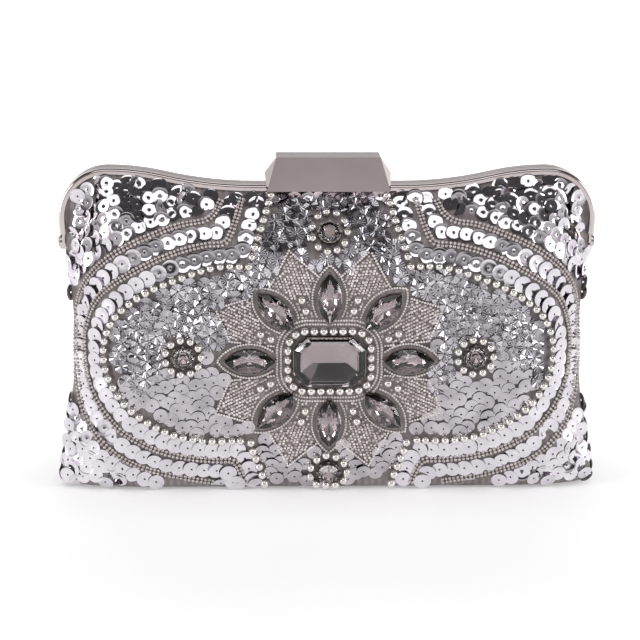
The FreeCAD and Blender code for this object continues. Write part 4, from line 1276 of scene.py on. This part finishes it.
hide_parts("front_cover", "front_foam", "front_board", "left_gusset", "right_gusset")
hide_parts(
    "rear_cover", "rear_foam", "rear_board", "rear_fold_band", "rear_top_band", "rear_top_foam",
)
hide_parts("front_lining")
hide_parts("left_gusset_lining")
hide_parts("right_gusset_lining")
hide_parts("slip_pocket")
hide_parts("bottom_lining")
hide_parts("rear_lining", "rear_top_lining")
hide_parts("bottom_cover")
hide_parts("center_pearl_ring", "petal_pearls", "medallion_pearls")

COIL_TURNS, COIL_STEPS, COIL_SIDES, COIL_WIRE, COIL_TRAVEL = 2.75, 24, 8, 0.1, 0.8


def latch_coil():
    """The spring behind the plunger: a fine coil, seated on the cover."""
    low, high = mm_box("latch_spring")
    middle, tall = (low + high) / 2, high[2] - low[2]
    rows = int(COIL_TURNS * COIL_STEPS) + 1
    round_wire = np.arange(COIL_SIDES) * 2 * math.pi / COIL_SIDES
    share, around = np.meshgrid(np.arange(rows) / (rows - 1), round_wire, indexing="ij")
    angle = share * COIL_TURNS * 2 * math.pi
    radius = (high[0] - low[0]) / 2 - COIL_WIRE + COIL_WIRE * np.cos(around)
    up = low[2] + COIL_WIRE + share * (tall - 2 * COIL_WIRE) + COIL_WIRE * np.sin(around)
    across = [middle[0] + radius * np.cos(angle), middle[1] + radius * np.sin(angle)]
    verts = np.stack([*across, up], -1).reshape(-1, 3)
    last = (rows - 1) * COIL_SIDES
    ends = [tuple(range(COIL_SIDES)), tuple(range(last + COIL_SIDES - 1, last - 1, -1))]
    coil = wear(new_mesh("latch_coil", verts, grid_faces(rows, COIL_SIDES, wrap=True) + ends), STEEL)
    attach(coil, "bag_body")
    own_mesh(coil)
    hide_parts("latch_spring")


latch_coil()

CAD_LOOKS = {
    NICKEL: ("front_frame", "rear_frame", "clasp_front_cover", "clasp_rear_cover"),
    CLAW: ("center_setting", "marquise_settings", "medallion_settings"),
    STEEL: (
        "hinge_rivet_left", "hinge_rivet_right", "clasp_front_screws", "clasp_rear_screws",
        "latch_tongue", "latch_plunger",
    ),
    PAPER: ("front_frame_cord", "rear_frame_cord"),
    BOARD: ("bottom_board",),
}
for mat, names in CAD_LOOKS.items():
    for name in names:
        wear(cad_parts[name], mat)
for name in ("clasp_front_cover", "clasp_rear_cover"):
    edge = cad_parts[name].modifiers.new("edge", "BEVEL")
    edge.width, edge.segments = 0.9 * MM, 4
    edge.limit_method, edge.angle_limit = "ANGLE", math.radians(28)
    edge.harden_normals = True


# ---- studio and camera
DARK_HEIGHT, DARK_WIDE, DARK_TALL = 0.09, 0.4, 0.14
FLOOR_R = 6000


def sky(stops):
    """World light by height: stops are (sine of the height, brightness). In front the room is dark."""
    world = bpy.data.worlds.new("studio")
    world.use_nodes = True
    tree = world.node_tree
    background = tree.nodes["Background"]
    way = node(tree, "ShaderNodeTexCoord").outputs["Generated"]
    height = node(tree, "ShaderNodeSeparateXYZ", way).outputs["Z"]
    levels = [(at, (level, level * 0.975, level * 0.985)) for at, level in stops]
    tree.links.new(ramp(tree, height, *levels), background.inputs["Color"])
    away = node(tree, "ShaderNodeVectorMath", way, operation="SUBTRACT")
    away.inputs[1].default_value = (0.0, -1.0, DARK_HEIGHT)
    shape = node(tree, "ShaderNodeVectorMath", away.outputs["Vector"], operation="MULTIPLY")
    shape.inputs[1].default_value = (1 / DARK_WIDE, 2.0, 1 / DARK_TALL)
    span = node(tree, "ShaderNodeVectorMath", shape.outputs["Vector"], operation="LENGTH")
    fade = remap(tree, span.outputs["Value"], 0.7, 1.25, 0.06, 1.0)
    tree.links.new(fade, background.inputs["Strength"])
    bpy.context.scene.world = world


def softbox(name, at, wide, tall, radiance, mirrored=True, aim=(0, 0, 0.07)):
    data = bpy.data.lights.new(name, "AREA")
    data.shape, data.size, data.size_y = "RECTANGLE", wide, tall
    data.energy = radiance * math.pi * wide * tall
    lamp = bpy.data.objects.new(name, data)
    lamp.location = at
    lamp.rotation_euler = (Vector(aim) - Vector(at)).to_track_quat("-Z", "Y").to_euler()
    bpy.context.scene.collection.objects.link(lamp)
    lamp.visible_glossy = mirrored


def studio():
    table = material("floor", (0.78, 0.78, 0.78), (0.82, 0.82, 0.82), 0.0, 0.55, 0.65, 3.0)
    shader = table.node_tree.nodes["Principled BSDF"]
    # Painted light: the floor glows. The glow is weak in front of the bag and rises to full strength behind
    # it, so the floor reads white and lights the bag from below.
    shader.inputs["Emission Color"].default_value = (1, 0.99, 1, 1)
    tree = table.node_tree
    place = tree.nodes["Texture Coordinate"].outputs["Object"]
    split = node(tree, "ShaderNodeSeparateXYZ", place)
    painted_floor_glow = remap(tree, split.outputs["Y"], -0.05, 0.6, 0.28, 1.0)
    tree.links.new(painted_floor_glow, shader.inputs["Emission Strength"])
    turns = np.linspace(0, 2 * math.pi, 64, endpoint=False)
    ring = [(FLOOR_R * math.cos(a), FLOOR_R * math.sin(a), -0.02) for a in turns]
    floor = wear(new_mesh("floor", ring, [tuple(range(len(ring)))]), table)
    sky([
        (0.0, 1.0), (0.06, 0.75), (0.12, 0.5), (0.2, 0.52),
        (0.31, 0.62), (0.42, 0.3), (0.58, 0.09), (1.0, 0.06),
    ])
    softbox("overhead_box", (0.0, -0.96, 1.1), 1.15, 0.66, 1.6)
    softbox("left_box", (-1.28, -0.57, 0.45), 0.36, 0.9, 7.0)
    softbox("right_box", (1.28, -0.57, 0.45), 0.36, 0.9, 7.0)
    softbox("rear_box", (0.0, 1.1, 0.95), 1.3, 0.45, 2.2)
    softbox("high_box", (0.0, 0.0, 1.7), 1.6, 1.2, 2.1, mirrored=False)
    bpy.context.scene.view_settings.view_transform = "Standard"


def camera():
    azimuth, elevation, reach = math.radians(-2.3), math.radians(12.5), 1.0
    aim = Vector((-0.0028, 0, 0.0665))
    flat = math.cos(elevation)
    way = Vector((math.sin(azimuth) * flat, -math.cos(azimuth) * flat, math.sin(elevation)))
    data = bpy.data.cameras.new("camera")
    data.lens, data.sensor_width = 137.0, 36.0
    cam = bpy.data.objects.new("camera", data)
    cam.location = aim + way * reach
    turn = (-way).to_track_quat("-Z", "Y").to_matrix() @ Matrix.Rotation(math.radians(0.35), 3, "Z")
    cam.rotation_euler = turn.to_euler()
    bpy.context.scene.collection.objects.link(cam)
    bpy.context.scene.camera = cam


studio()
camera()
